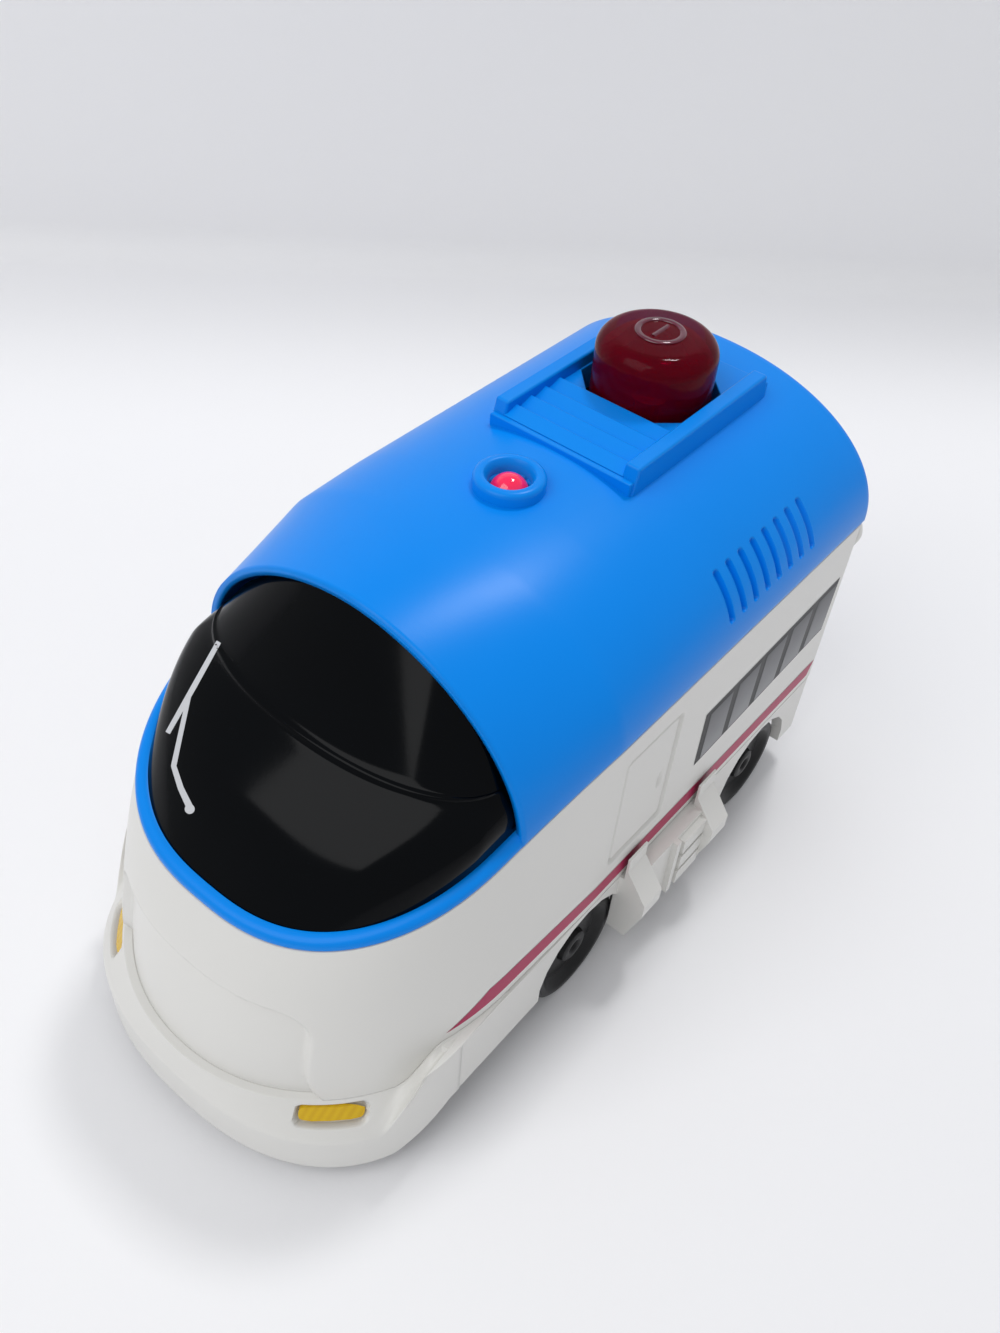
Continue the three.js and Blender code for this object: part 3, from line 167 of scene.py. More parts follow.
sweep_across = Vector((0.747, 0.665, 0.0))
sweep_away = Vector((-0.665, 0.747, 0.0))
sweep_bend = np.linspace(0.0, np.pi / 2, 12)
sweep_side = [(-1200.0, 0.0)]
sweep_side += [(212 + 10 * np.sin(turn), 10 - 10 * np.cos(turn)) for turn in sweep_bend]
sweep_side += [(222.0, 320.0)]
sweep_points = []
for away, height in sweep_side:
    for side in (-1400.0, 1400.0):
        flat = (sweep_across * side + sweep_away * away) * mm
        sweep_points.append((flat.x, flat.y, height * mm))
sweep_mesh = bpy.data.meshes.new("board")
sweep_faces = [(2 * n, 2 * n + 1, 2 * n + 3, 2 * n + 2) for n in range(len(sweep_side) - 1)]
sweep_mesh.from_pydata(sweep_points, [], sweep_faces)
sweep_mesh.shade_smooth()
sweep_mesh.materials.append(board_finish)
sweep = bpy.data.objects.new("board", sweep_mesh)
scene.collection.objects.link(sweep)
sweep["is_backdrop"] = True

room = bpy.data.worlds.new("room")
room.use_nodes = True
room.node_tree.nodes["Background"].inputs["Color"].default_value = (0.97, 0.98, 1.0, 1.0)
room.node_tree.nodes["Background"].inputs["Strength"].default_value = 0.5
scene.world = room

for lamp_name, lamp_spot, lamp_side, lamp_power in (
        ("soft_box", (-0.03, 0.36, 0.78), 0.12, 1.9),
        ("front_box", (-0.15, -0.62, 0.80), 0.7, 3.6)):
    lamp_data = bpy.data.lights.new(lamp_name, "AREA")
    lamp_data.size = lamp_side
    lamp_data.energy = lamp_power
    lamp = bpy.data.objects.new(lamp_name, lamp_data)
    scene.collection.objects.link(lamp)
    lamp.location = lamp_spot
    aim = Vector((0, 0, 0.045)) - Vector(lamp_spot)
    lamp.rotation_euler = aim.to_track_quat("-Z", "Y").to_euler()


# Chassis
# A white moulding below the body carries the wheels: the skirt round the nose, the steps
# and the slatted lockers. The battery door is cut from the same plastic and held by a screw.
def moulded(name, colour, roughness, tone=0.95, grain=0.05, coat=0.0, grain_scale=1800.0, shine=0.5):
    material, spot = new_finish(name)
    flow = spot.speckle(70.0, 3.0)
    close_finish(spot, {
        "Base Color": flow.blend(dimmed(colour, tone), colour),
        "Roughness": roughness + (flow - 0.5) * 0.08,
        "Specular IOR Level": shine,
        "Coat Weight": coat,
        "Coat Roughness": 0.08,
        "Normal": spot.node("Bump", {}, {"Strength": grain, "Distance": 0.0001,
                                         "Height": spot.speckle(grain_scale)}),
    })
    return material


def soften(piece, width, segments=3, least_angle=35.0):
    edge = piece.modifiers.new("soft_edge", "BEVEL")
    edge.width = width * mm
    edge.segments = segments
    edge.limit_method = "ANGLE"
    edge.angle_limit = radians(least_angle)
    edge.harden_normals = True


def dress(material, *names, sharp=32.0, edges=0.0):
    for name in names:
        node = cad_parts[name]
        node.data.materials.clear()
        node.data.materials.append(material)
        node.data.shade_smooth()
        node.data.set_sharp_from_angle(angle=radians(sharp))
        if edges:
            soften(node, edges, 2, 40.0)


white = tint(229, 228, 224)
white_plastic = moulded("white_plastic_satin", white, 0.36, 0.97)
dress(white_plastic, "chassis_tray", "battery_door", edges=0.22)


# Fasteners, axles and contacts
# Plated steel: cut screws and axles turned on a lathe, and contact plates stamped from strip.
# Fine scratches run across them, and the plating is a little duller where they are deepest.
def metal(name, colour, roughness, stretch=(400.0, 4000.0, 4000.0)):
    material, spot = new_finish(name)
    drawn = spot.node("VectorMath", {"operation": "MULTIPLY"}, {0: spot, 1: stretch})
    lines = drawn.speckle(1.0, 3.0)
    close_finish(spot, {
        "Base Color": lines.blend(dimmed(colour, 0.82), colour),
        "Metallic": 1.0,
        "Roughness": roughness + (lines - 0.5) * 0.2,
        "Normal": spot.node("Bump", {}, {"Strength": 0.08, "Distance": 0.00005, "Height": lines}),
    })
    return material


steel = metal("plated_steel", tint(196, 196, 200), 0.3)
dress(steel, "front_axle", "rear_axle", "first_gear_pin", "second_gear_pin", "coupler_screw",
      "body_screw_1", "body_screw_2", "body_screw_3", "body_screw_4", "battery_door_screw",
      "contact_positive", "contact_negative", "contact_bridge_right", "contact_bridge_left")


# Motor and gear train
# A small can motor drives two stepped nylon gears and the gear on the rear axle.
# The gears are moulded and a little waxy, and the pinion is cut from brass.
dress(metal("motor_steel", tint(176, 178, 180), 0.34), "motor")
dress(metal("turned_brass", tint(205, 168, 92), 0.28), "motor_pinion", sharp=25.0)
dress(moulded("gear_nylon", tint(226, 222, 205), 0.45, 0.94), "axle_gear", "first_gear", "second_gear",
      sharp=25.0)
dress(moulded("gearbox_plastic", tint(196, 197, 198), 0.42, 0.95), "gearbox_left", "gearbox_right",
      edges=0.15)


# Cells
# Three small cells lie across the engine. Each is a steel can in a printed sleeve,
# which stops short of the bare ends.
cell_finish, spot = new_finish("cell_sleeve")
cell_low, cell_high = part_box("battery_1")
cell_end = (cell_high.x - cell_low.x) / 2 - 3.5 * mm
along = spot.node("SeparateXYZ", {}, {"Vector": spot}, 0)
bare = spot.sum("GREATER_THAN", spot.node("Math", {"operation": "ABSOLUTE"}, {0: along}), cell_end)
scuff = spot.speckle(600.0)
close_finish(spot, {
    "Base Color": bare.blend(tint(38, 66, 52), tint(198, 198, 200)),
    "Metallic": bare * 0.9,
    "Roughness": 0.3 + scuff * 0.12,
})
dress(cell_finish, "battery_1", "battery_2", "battery_3")


# Board and leads
# A glass-fibre board with a green mask stands on posts under the roof, with its switch and
# receiver soldered on. The leads are soft plastic over stranded wire.
board_mask, spot = new_finish("green_mask")
tracks = spot.node("TexVoronoi", {"distance": "MANHATTAN"}, {"Vector": spot, "Scale": 320.0})
raised = spot.sum("GREATER_THAN", tracks, 0.42)
close_finish(spot, {
    "Base Color": raised.blend(tint(16, 74, 40), tint(28, 104, 56)),
    "Roughness": 0.32 + raised * 0.1,
    "Normal": spot.node("Bump", {}, {"Strength": 0.2, "Distance": 0.00005, "Height": raised}),
})
dress(board_mask, "circuit_board")
dress(moulded("switch_black", tint(22, 22, 24), 0.4, 0.85), "power_switch", "ir_receiver", "switch_plunger")
dress(moulded("red_lead", tint(176, 22, 24), 0.42, 0.9), "battery_lead_red", "motor_lead_red")
dress(moulded("black_lead", tint(20, 20, 22), 0.42, 0.85), "battery_lead_black", "motor_lead_black")


# Wheels
# Black wheels moulded in one with a dished face and a hub, pressed on the axles.
# The driven pair has a groove for a rubber tyre, which is a ring with rounded edges.
axle_low, axle_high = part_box("rear_axle")
datum = np.array((0.0, (axle_low.y + axle_high.y) / 2 / mm - 48.0, 0.0))


def make(name, shape, material, body, sharp=38.0):
    points, faces = shape
    mesh = bpy.data.meshes.new(name)
    mesh.from_pydata(((np.asarray(points, float) + datum) * mm).tolist(), [], faces)
    work = bmesh.new()
    work.from_mesh(mesh)
    bmesh.ops.remove_doubles(work, verts=work.verts, dist=0.000002)
    bmesh.ops.recalc_face_normals(work, faces=work.faces)
    work.to_mesh(mesh)
    work.free()
    mesh.shade_smooth()
    mesh.set_sharp_from_angle(angle=radians(sharp))
    mesh.materials.append(material)
    piece = bpy.data.objects.new(name, mesh)
    scene.collection.objects.link(piece)
    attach(piece, body)
    return piece


def grid_faces(rows, columns, wrap=False):
    row, column = np.meshgrid(np.arange(rows - 1), np.arange(columns - (not wrap)), indexing="ij")
    beside = (column + 1) % columns
    above = row + 1
    quads = np.stack([row * columns + column, above * columns + column,
                      above * columns + beside, row * columns + beside], -1)
    return quads.reshape(-1, 4).tolist()


def grid(points, wrap=False):
    rows, columns = points.shape[:2]
    return points.reshape(-1, 3), grid_faces(rows, columns, wrap)


def turned(profile, axis, centre, count=80):
    along, radius = np.array(profile, float).T
    turn = np.arange(count) * 2 * np.pi / count
    first = np.outer(radius, np.cos(turn))
    second = np.outer(radius, np.sin(turn))
    along = np.repeat(along[:, None], count, 1)
    order = {"x": (along, first, second), "y": (first, along, second), "z": (first, second, along)}
    return grid(np.stack(order[axis], -1) + np.array(centre, float), wrap=True)


def joined(*shapes):
    points, faces, start = [], [], 0
    for some_points, some_faces in shapes:
        points.append(np.asarray(some_points, float))
        faces += [[corner + start for corner in face] for face in some_faces]
        start += len(some_points)
    return np.concatenate(points), faces


def span(name):
    low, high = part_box(name)
    return np.array(low) / mm - datum, np.array(high) / mm - datum


wheel_black = moulded("wheel_black", tint(14, 14, 16), 0.4, 0.8, 0.08, shine=0.3)
tyre_rubber = moulded("tyre_rubber", tint(13, 13, 14), 0.68, 0.75, 0.3, grain_scale=2600.0, shine=0.3)

for end, body in (("front", "front_wheelset"), ("rear", "rear_wheelset")):
    for side in ("right", "left"):
        name = end + "_wheel_" + side
        low, high = span(name)
        middle = (low + high) / 2
        out = 1 if middle[0] > 0 else -1
        face = high[0] if out > 0 else low[0]
        wide = high[0] - low[0]
        rim = (high[2] - low[2]) / 2
        tread = [(0.25, rim - 0.35), (0.7, rim - 0.05), (1.2, rim), (wide - 0.5, rim),
                 (wide - 0.15, rim - 0.2)]
        if end == "rear":
            tyre_low, tyre_high = span("rear_tyre_" + side)
            starts = abs(face - (tyre_high[0] if out > 0 else tyre_low[0]))
            tyre_wide = tyre_high[0] - tyre_low[0]
            tyre_rim = (tyre_high[2] - tyre_low[2]) / 2
            seat = tyre_rim - 1.9
            tread = [(0.2, rim - 0.15), (max(starts - 0.02, 0.3), rim)]
            if rim > seat + 0.3:
                tread += [(starts - 0.01, seat - 0.05), (starts + tyre_wide + 0.01, seat - 0.05)]
            tread += [(starts + tyre_wide + 0.02, rim), (wide - 0.15, rim - 0.15)]
            ring = [(0.0, seat), (0.0, tyre_rim - 0.5), (0.12, tyre_rim - 0.18), (0.4, tyre_rim),
                    (tyre_wide - 0.4, tyre_rim), (tyre_wide - 0.12, tyre_rim - 0.18),
                    (tyre_wide, tyre_rim - 0.5), (tyre_wide, seat), (0.0, seat)]
            ring = [(face - out * (starts + along), radius) for along, radius in ring]
            tyre = make("tyre_" + side, turned(ring, "x", (0, middle[1], middle[2])), tyre_rubber,
                        body)
            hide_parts("rear_tyre_" + side)
        dish = [(1.1, 0.0), (1.1, 0.9), (0.45, 1.25), (0.25, 1.6), (0.25, 2.5), (0.5, 2.9), (1.4, 3.2),
                (1.5, 0.66 * rim), (0.7, 0.76 * rim), (0.15, 0.81 * rim), (0.0, 0.85 * rim),
                (0.0, rim - 0.8)]
        back_face = [(wide, rim - 0.6), (wide, 2.4), (wide, 1.25)]
        profile = [(face - out * along, radius) for along, radius in dish + tread + back_face]
        wheel = make("wheel_" + end + "_" + side, turned(profile, "x", (0, middle[1], middle[2])),
                     wheel_black, body)
        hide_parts(name)


# Body shell
# One white moulding makes the sides, the back and the bullet nose above the bumper band.
# The hood panel and the doors are sunk into it, and two round lugs stand on its back.
half, back, corner = 33.0, 67.0, 2.5
parting, crease, lip, sill = 59.2, 16.5, 11.5, 22.7
nose_start, nose_tip, taper_start = -25.0, -61.8, -5.0
lip_start, lip_reach = -36.0, 27.2
nose_lean = np.polyfit([0.0, 0.2, 0.41, 0.65, 0.85, 1.07], [0.0, 1.7, 4.6, 8.4, 14.0, 24.0], 4)


def arch(share, power):
    swing = np.cos(np.pi * share)
    rise = np.abs(np.sin(np.pi * share))
    return np.sign(swing) * np.abs(swing) ** (2 / power), rise ** (2 / power)


def rim_plane(y):
    return parting - 0.306 * np.maximum(0.0, taper_start - y)


def seam(share):
    ahead = np.clip((np.minimum(share, 1 - share) - 0.102) / 0.075, 0.0, 1.0)
    return sill + (crease + 0.12 - sill) * ahead * ahead * (3 - 2 * ahead)


def side_width(y, z):
    rise = (z - crease) / (parting - crease)
    return half - 0.155 * rise * np.maximum(0.0, taper_start - y)


def soft_ramp(share, soft=0.12):
    low = np.clip(share + soft, 0, 2 * soft) ** 2 / (4 * soft) + np.maximum(share - soft, 0)
    high = np.clip(share - 1 + soft, 0, 2 * soft) ** 2 / (4 * soft) + np.maximum(share - 1 - soft, 0)
    return low - high


def nose_plan(share, z):
    rise = np.clip((z - crease) / (parting - crease), 0.0, 1.2)
    across, ahead = arch(share, 2.1 + 0.7 * rise)
    y = nose_start + (nose_tip + np.polyval(nose_lean, rise) - nose_start) * ahead
    x = side_width(y, np.maximum(z, crease)) * across
    low_across, low_ahead = arch(share, 2.4)
    fall = soft_ramp((crease - z) / (crease - lip))
    low_y = lip_start - lip_reach * low_ahead
    return x + (half * low_across - x) * fall, y + (low_y - y) * fall


def meeting(share, line, low, high):
    low = np.full(len(share), low)
    high = np.full(len(share), high)
    for _ in range(40):
        middle = (low + high) / 2
        over = middle > line(nose_plan(share, middle)[1])
        high = np.where(over, middle, high)
        low = np.where(over, low, middle)
    return (low + high) / 2


def ease(distance, width):
    share = np.clip(0.5 - distance / (2 * width), 0.0, 1.0)
    return share * share * (3 - 2 * share)


def rounded(across, up, reach, height, radius):
    outside_a = np.abs(across) - (reach - radius)
    outside_b = np.abs(up) - (height - radius)
    far = np.hypot(np.maximum(outside_a, 0), np.maximum(outside_b, 0))
    return far + np.minimum(np.maximum(outside_a, outside_b), 0) - radius


def facing(points):
    normal = np.cross(np.gradient(points, axis=0), np.gradient(points, axis=1))
    return normal / np.maximum(np.linalg.norm(normal, axis=-1, keepdims=True), 1e-9)


def sight(across, down):
    return view_right * ((across - 500) / focal) - view_up * ((down - 666.5) / focal) - view_back


def side_spot(across, down):
    ray = sight(across, down)
    spot = (camera_spot + ray * ((half * mm - camera_spot.x) / ray.x)) / mm
    return spot.y - datum[1], spot.z


def thicken(piece, thickness):
    wall = piece.modifiers.new("wall", "SOLIDIFY")
    wall.thickness = thickness * mm
    wall.offset = -1.0


body_rows = np.linspace(0.0, 1.0, 131)[:, None]
nose_share = np.linspace(0.0, 1.0, 221)
nose_low = seam(nose_share)
nose_high = meeting(nose_share, rim_plane, 30.0, 60.0)
nose_z = nose_low + (nose_high - nose_low) * body_rows
nose_x, nose_y = nose_plan(nose_share[None, :], nose_z)

bend = np.linspace(np.pi / 2, 0.0, 8)
plan_x = np.concatenate([np.linspace(0.0, half - corner, 9)[:-1], half - corner + corner * np.cos(bend)])
plan_y = np.concatenate([np.full(8, back), back - corner + corner * np.sin(bend)])
side_y = np.concatenate([np.arange(64.0, 14.0, -0.9), np.arange(14.0, -4.0, -0.22),
                         np.arange(-4.0, -24.5, -0.7)])
flank_y = np.concatenate([plan_y, side_y])[None, :] + 0 * body_rows
flank_z = sill + (rim_plane(flank_y) - sill) * body_rows
flank_x = np.concatenate([plan_x + 0 * body_rows, side_width(side_y[None, :], flank_z[:, len(plan_y):])], 1)

hull = np.stack([np.concatenate([flank_x, nose_x, -flank_x[:, ::-1]], 1),
                 np.concatenate([flank_y, nose_y, flank_y[:, ::-1]], 1),
                 np.concatenate([flank_z, nose_z, flank_z[:, ::-1]], 1)], -1)
outward = facing(hull)
hull_x, hull_y, hull_z = hull[..., 0], hull[..., 1], hull[..., 2]

hood_reach = 19.6 + 2.2 * np.exp(-np.clip(hull_z - crease, 0, None) / 2.6)
hood_edge = rounded(hull_x, hull_z - 17.25, hood_reach, 17.25, 5.0)
hood = ease(np.maximum(hood_edge, crease - hull_z), 0.4) * (hull_y < -30)
door_edge = rounded(hull_y - 5.0, hull_z - 42.45, 7.0, 11.75, 1.4)
handle_y, handle_z = side_spot(661, 780)
handle_edge = np.hypot((hull_y - handle_y) / 0.7, (hull_z - handle_z) / 1.5) - 1
flank = np.abs(hull_x) > half - 0.6
door = 0.25 * ease(door_edge, 0.2) + 0.7 * ease(np.abs(door_edge) - 0.32, 0.2)
sunk = 1.5 * hood + (door + 0.6 * ease(handle_edge, 0.5)) * flank
hull = hull - outward * sunk[..., None]

lug = [(66.0, 4.2), (68.7, 4.2), (69.2, 3.95), (69.45, 3.5), (69.5, 3.0), (69.5, 1.5), (69.0, 1.1),
       (69.0, 0.0)]
body = make("body", joined(grid(hull), turned(lug, "y", (28.4, 0, 54.4)), turned(lug, "y", (-28.4, 0, 54.4))),
            white_plastic, "engine", sharp=55.0)
thicken(body, 1.3)
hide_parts("body_shell")


# Bumper band
# The lower moulding carries on round the nose as a sloping shelf and an upright skirt.
# A slot on each side of the shelf takes a headlamp.
lamp_x, lamp_ahead, lamp_z, lamp_turn = 24.0, -53.9, 14.55, 0.62
skirt_low, skirt_rise, skirt_ramp, ramp_run = 3.66, 5.2, -48.0, 10.0


def heading(path):
    step = np.gradient(path, axis=0)
    return step / np.linalg.norm(step, axis=1, keepdims=True)


band_top = np.linspace(0.0, 1.0, 44)[:, None]
band_low = np.linspace(0.0, 1.0, 40)[1:, None]
ledge_z = nose_low - 0.08
skirt_x, skirt_y = nose_plan(nose_share, np.full(len(nose_share), lip - 2.0))
band_foot = skirt_low + skirt_rise * np.clip((skirt_y - skirt_ramp) / ramp_run, 0.0, 1.0)
flare_foot = np.minimum(lip + 12.9 * soft_ramp((skirt_y + 49.6) / 7.0), ledge_z - 0.12)
band_z = np.concatenate([ledge_z + (flare_foot - ledge_z) * band_top,
                         flare_foot + (band_foot - flare_foot) * band_low])
band_x, band_y = nose_plan(nose_share[None, :], np.maximum(band_z, crease + 0.7))
flare = soft_ramp((ledge_z - band_z) / (ledge_z - flare_foot))
flare[0] = 0.0
band_x = band_x + (skirt_x - band_x) * flare
band_y = band_y + (skirt_y - band_y) * flare
ledge = np.stack([band_x[0], band_y[0]], -1)
ledge_step = heading(ledge)
ledge = ledge + 1.3 * np.stack([ledge_step[:, 1], -ledge_step[:, 0]], -1)
ledge_run = np.linspace(0.0, 1.0, 8)[:-1, None]
band_x = np.concatenate([ledge[:, 0] + (band_x[0] - ledge[:, 0]) * ledge_run, band_x])
band_y = np.concatenate([ledge[:, 1] + (band_y[0] - ledge[:, 1]) * ledge_run, band_y])
band_z = np.concatenate([ledge_z + 0 * ledge_run, band_z])
band = np.stack([band_x, band_y, band_z], -1)
band_out = facing(band)
band_out = band_out * np.sign((band_out * (band - (0, -20, 8))).sum(-1, keepdims=True))
lamp_along = (np.abs(band_x) - lamp_x) * np.cos(lamp_turn) + (band_y - lamp_ahead) * np.sin(lamp_turn)
slot = ease(rounded(lamp_along, band_z - lamp_z, 5.1, 1.25, 1.0), 0.22) * (band_y < -42)
skirt_step = heading(np.stack([skirt_x, skirt_y], -1))
skirt_out = np.stack([-skirt_step[:, 1], skirt_step[:, 0], 0 * skirt_x], -1)
proud = 0.14 * (1 - soft_ramp(np.minimum(nose_share, 1 - nose_share) / 0.3))[:, None]
band = band + skirt_out * proud - band_out * 1.6 * slot[..., None]
bumper = make("bumper_band", grid(band), white_plastic, "engine", sharp=60.0)
thicken(bumper, 0.3)


# Headlamps
# Two bars of clear yellow plastic, snapped into slots in the bumper band from behind.
# A faint ribbing inside them spreads the light.
# Their yellow is the plastic's own colour, darkened with painted shade for the slot they sit in.
lamp_yellow_shaded, spot = new_finish("headlamp_yellow_painted_shade")
ribs = spot.node("TexWave", {"bands_direction": "X"}, {"Vector": spot, "Scale": 320.0, "Distortion": 0.4})
close_finish(spot, {
    "Base Color": ribs.blend(tint(216, 172, 0), tint(224, 184, 0)),
    "Roughness": 0.14 + ribs * 0.06,
    "Coat Weight": 0.4,
    "Normal": spot.node("Bump", {}, {"Strength": 0.06, "Distance": 0.0001, "Height": ribs}),
})
dress(lamp_yellow_shaded, "headlamp_right", "headlamp_left", edges=0.2)


# Printed sides
# The stripe and the window band are ink, printed on the flat sides after moulding.
# The panes are a lighter ink over the black of the band.
ink_red = moulded("ink_red", tint(176, 30, 84), 0.36, 0.93, shine=0.25)
ink_black = moulded("ink_black", tint(8, 9, 12), 0.34, 0.8, shine=0.15)
pane_grey, spot = new_finish("ink_grey")
height = spot.node("SeparateXYZ", {}, {"Vector": spot}, 2)
shaded = ((height - 0.036) * 85.0 + (spot.speckle(260.0) - 0.5) * 0.2).held()
close_finish(spot, {
    "Base Color": shaded.blend(tint(140, 141, 144), tint(84, 85, 89)),
    "Roughness": 0.34 + shaded * 0.06,
    "Specular IOR Level": 0.2,
})


def hull_width(y, z):
    rise = (z - crease) / (parting - crease)
    power = 2.1 + 0.7 * rise
    tip = nose_tip + np.polyval(nose_lean, rise)
    ahead = np.clip((nose_start - y) / (nose_start - tip), 0.0, 1.0)
    return side_width(y, z) * (1 - ahead ** power) ** (1 / power)


def print_film(name, y, z, lift, material):
    for side, sign in (("right", 1), ("left", -1)):
        film = np.stack([sign * (hull_width(y, z) + lift), y, z], -1)
        make(name + "_" + side, grid(film), material, "engine")


stripe_low, stripe_tall = 24.2, 3.2
stripe_y = np.concatenate([np.linspace(-37.0, -24.0, 60), np.linspace(-23.5, 63.0, 60)])
stripe_up = np.linspace(0.0, 1.0, 5)[:, None]
stripe_top = stripe_low + stripe_tall * np.clip((stripe_y + 37.0) / 8.0, 0.02, 1.0)
stripe_z = stripe_low + (stripe_top - stripe_low) * stripe_up
tail_lean = 1.4 * stripe_up * np.clip((stripe_y - 53) / 10, 0, 1)
print_film("stripe", stripe_y + 0 * stripe_up + tail_lean, stripe_z, 0.05, ink_red)

band_corners = np.array([side_spot(706.6, 715), side_spot(840, 577),
                         side_spot(693.4, 765.5), side_spot(821, 629)])


def band_film(name, start, end, top, bottom, lift, material):
    along, down = np.meshgrid(np.linspace(start, end, 9), np.linspace(top, bottom, 5))
    along, down = along[..., None], down[..., None]
    front_top, rear_top, front_low, rear_low = band_corners
    spots = (front_top * (1 - along) + rear_top * along) * (1 - down)
    spots = spots + (front_low * (1 - along) + rear_low * along) * down
    print_film(name, spots[..., 0], spots[..., 1], lift, material)


band_film("window_band", 0.0, 1.0, 0.0, 1.0, 0.04, ink_black)
for pane in range(5):
    band_film("pane_%d" % (pane + 1), (pane + 0.2) / 5, (pane + 0.98) / 5, 0.1, 0.975, 0.07, pane_grey)


# Roof shell
# The blue roof is one moulding: an arched shell with eight sunk vents a side, a rim that runs
# round the windscreen, and a raised platform with rails, louvres and the lamp's collar.
blue_plastic = moulded("blue_plastic_gloss", tint(0, 138, 240), 0.3, 0.95, 0.04, shine=0.16)


def roof_line(y, share, inset=0.0):
    fall = np.maximum(0.0, (7.0 - y) / 30)
    foot = rim_plane(y) + 0.3 - inset
    rise = parting + 21.0 - 1.3 * fall ** 2 - inset - foot
    level = (rim_plane(y) - crease) / (parting - crease)
    wide = half - inset - 0.155 * level * np.maximum(0.0, taper_start - y)
    across, up = arch(share, 2.1 - 0.2 * np.minimum(1.0, fall))
    return np.stack(np.broadcast_arrays(wide * across, y, foot + rise * up), -1)


roof_share = np.unique(np.concatenate([
    np.linspace(0.0, 0.06, 10), np.linspace(0.06, 0.2, 96), np.linspace(0.2, 0.8, 110),
    np.linspace(0.8, 0.94, 96), np.linspace(0.94, 1.0, 10)]).round(7))
roof_y = np.unique(np.concatenate([
    np.linspace(-23.0, 20.5, 56), np.linspace(20.5, 49.0, 210), np.linspace(49.0, 66.0, 24)]).round(6))
roof = roof_line(roof_y[:, None], roof_share[None, :])
vent_edge = np.full(roof.shape[:2], 99.0)
for vent in range(8):
    vent_y = 23.05 + 3.4 * vent
    vent_edge = np.minimum(vent_edge, rounded(roof[..., 1] - vent_y, roof[..., 2] - 68.0, 0.6, 3.5, 0.4))
roof_out = facing(roof)
roof_out = roof_out * np.sign(roof_out[..., 2:3] + 1e-9)
roof = roof - roof_out * (0.85 * ease(vent_edge, 0.16))[..., None]
tail_rows = [roof_line(np.full((1, 1), y), roof_share[None, :], inset) for y, inset in
             ((66.4, 0.12), (66.75, 0.38), (67.0, 0.9))]
roof = np.concatenate([roof] + tail_rows, 0)
roof[..., 2] = np.where(roof[..., 1] > 66.2, np.maximum(roof[..., 2], 59.5), roof[..., 2])
roof_points, roof_faces = grid(roof)
button_y, lamp_y = 44.2, 8.7


def covered(face):
    centre = roof_points[face].mean(0)
    across, along = abs(centre[0]), abs(centre[1] - button_y)
    in_hole = max(across, along, (across + along) * 0.7071) < 11.2
    in_collar = np.hypot(centre[0], centre[1] - lamp_y) < 3.0
    return centre[2] > 74 and (in_hole or in_collar)


roof_faces = [face for face in roof_faces if not covered(face)]
columns = len(roof_share)
gable = list(range(len(roof_points) - columns, len(roof_points)))
shell = make("roof", (roof_points, roof_faces + [gable]), blue_plastic, "engine", sharp=50.0)
thicken(shell, 1.3)
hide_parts("roof_shell")

rim_side_y = np.linspace(-21.6, -24.6, 5)
rim_side = np.stack([side_width(rim_side_y, rim_plane(rim_side_y)), rim_side_y, rim_plane(rim_side_y)], -1)
rim_nose = np.stack([*nose_plan(nose_share, nose_high), nose_high], -1)
rim_path = np.concatenate([rim_side, rim_nose, rim_side[::-1] * (-1, 1, 1)])
rim_step = heading(rim_path[:, :2])
rim_inward = np.stack([rim_step[:, 1], -rim_step[:, 0], 0 * rim_step[:, 0]], -1)
rim_section = [(0.04, 0.3), (0.04, 0.7), (0.12, 1.05), (0.35, 1.4), (0.7, 1.68), (1.15, 1.85), (1.6, 1.9),
               (1.95, 1.82), (2.0, 1.6), (2.0, 0.3)]
rim_points = np.stack([rim_path + rim_inward * inset + np.array((0, 0, lift))
                       for inset, lift in rim_section], 1)
make("windscreen_rim", grid(rim_points, wrap=True), blue_plastic, "engine", sharp=50.0)


def block(low, high, lean=(0.0, 0.0)):
    points = [(x, y, z) for z in (low[2], high[2]) for y in (low[1], high[1]) for x in (low[0], high[0])]
    points = np.array(points, float)
    points[4:6, 1] += lean[0]
    points[6:8, 1] += lean[1]
    return points, [(0, 1, 3, 2), (4, 5, 7, 6), (0, 1, 5, 4), (2, 3, 7, 6), (0, 2, 6, 4), (1, 3, 7, 5)]


platform_top, rail_top, rail_x, rail_wide = 80.9, 83.0, 13.4, 2.6
deck_front, deck_back = 19.9, 58.5
hole = 10.6
short = hole * np.tan(np.pi / 8)
octagon = [(hole, short), (short, hole), (-short, hole), (-hole, short),
           (-hole, -short), (-short, -hole), (short, -hole), (hole, -short)]
inside = [(x, y + button_y) for x, y in octagon]
reach_x = rail_x - 0.3
outside = [(reach_x, button_y + short), (short, deck_back),
           (-short, deck_back), (-reach_x, button_y + short),
           (-reach_x, button_y - short), (-short, deck_front),
           (short, deck_front), (reach_x, button_y - short)]
corners = [(reach_x, deck_back), (-reach_x, deck_back), (-reach_x, deck_front), (reach_x, deck_front)]
deck_points = [(x, y, platform_top) for x, y in inside + outside + corners]
deck_points += [(x, y, 76.4) for x, y in inside]
deck_faces = [(0, 8, 16, 9, 1), (1, 9, 10, 2), (2, 10, 17, 11, 3), (3, 11, 12, 4),
              (4, 12, 18, 13, 5), (5, 13, 14, 6), (6, 14, 19, 15, 7), (7, 15, 8, 0)]
deck_faces += [(n, (n + 1) % 8, 20 + (n + 1) % 8, 20 + n) for n in range(8)]
deck_edge = [8, 16, 9, 10, 17, 11, 12, 18, 13, 14, 19, 15]
deck_points += [(deck_points[n][0], deck_points[n][1], 77.0) for n in deck_edge]
deck_faces += [(deck_edge[n], deck_edge[(n + 1) % 12], 28 + (n + 1) % 12, 28 + n) for n in range(12)]
deck = make("roof_deck", (deck_points, deck_faces), blue_plastic, "engine")
soften(deck, 0.25)

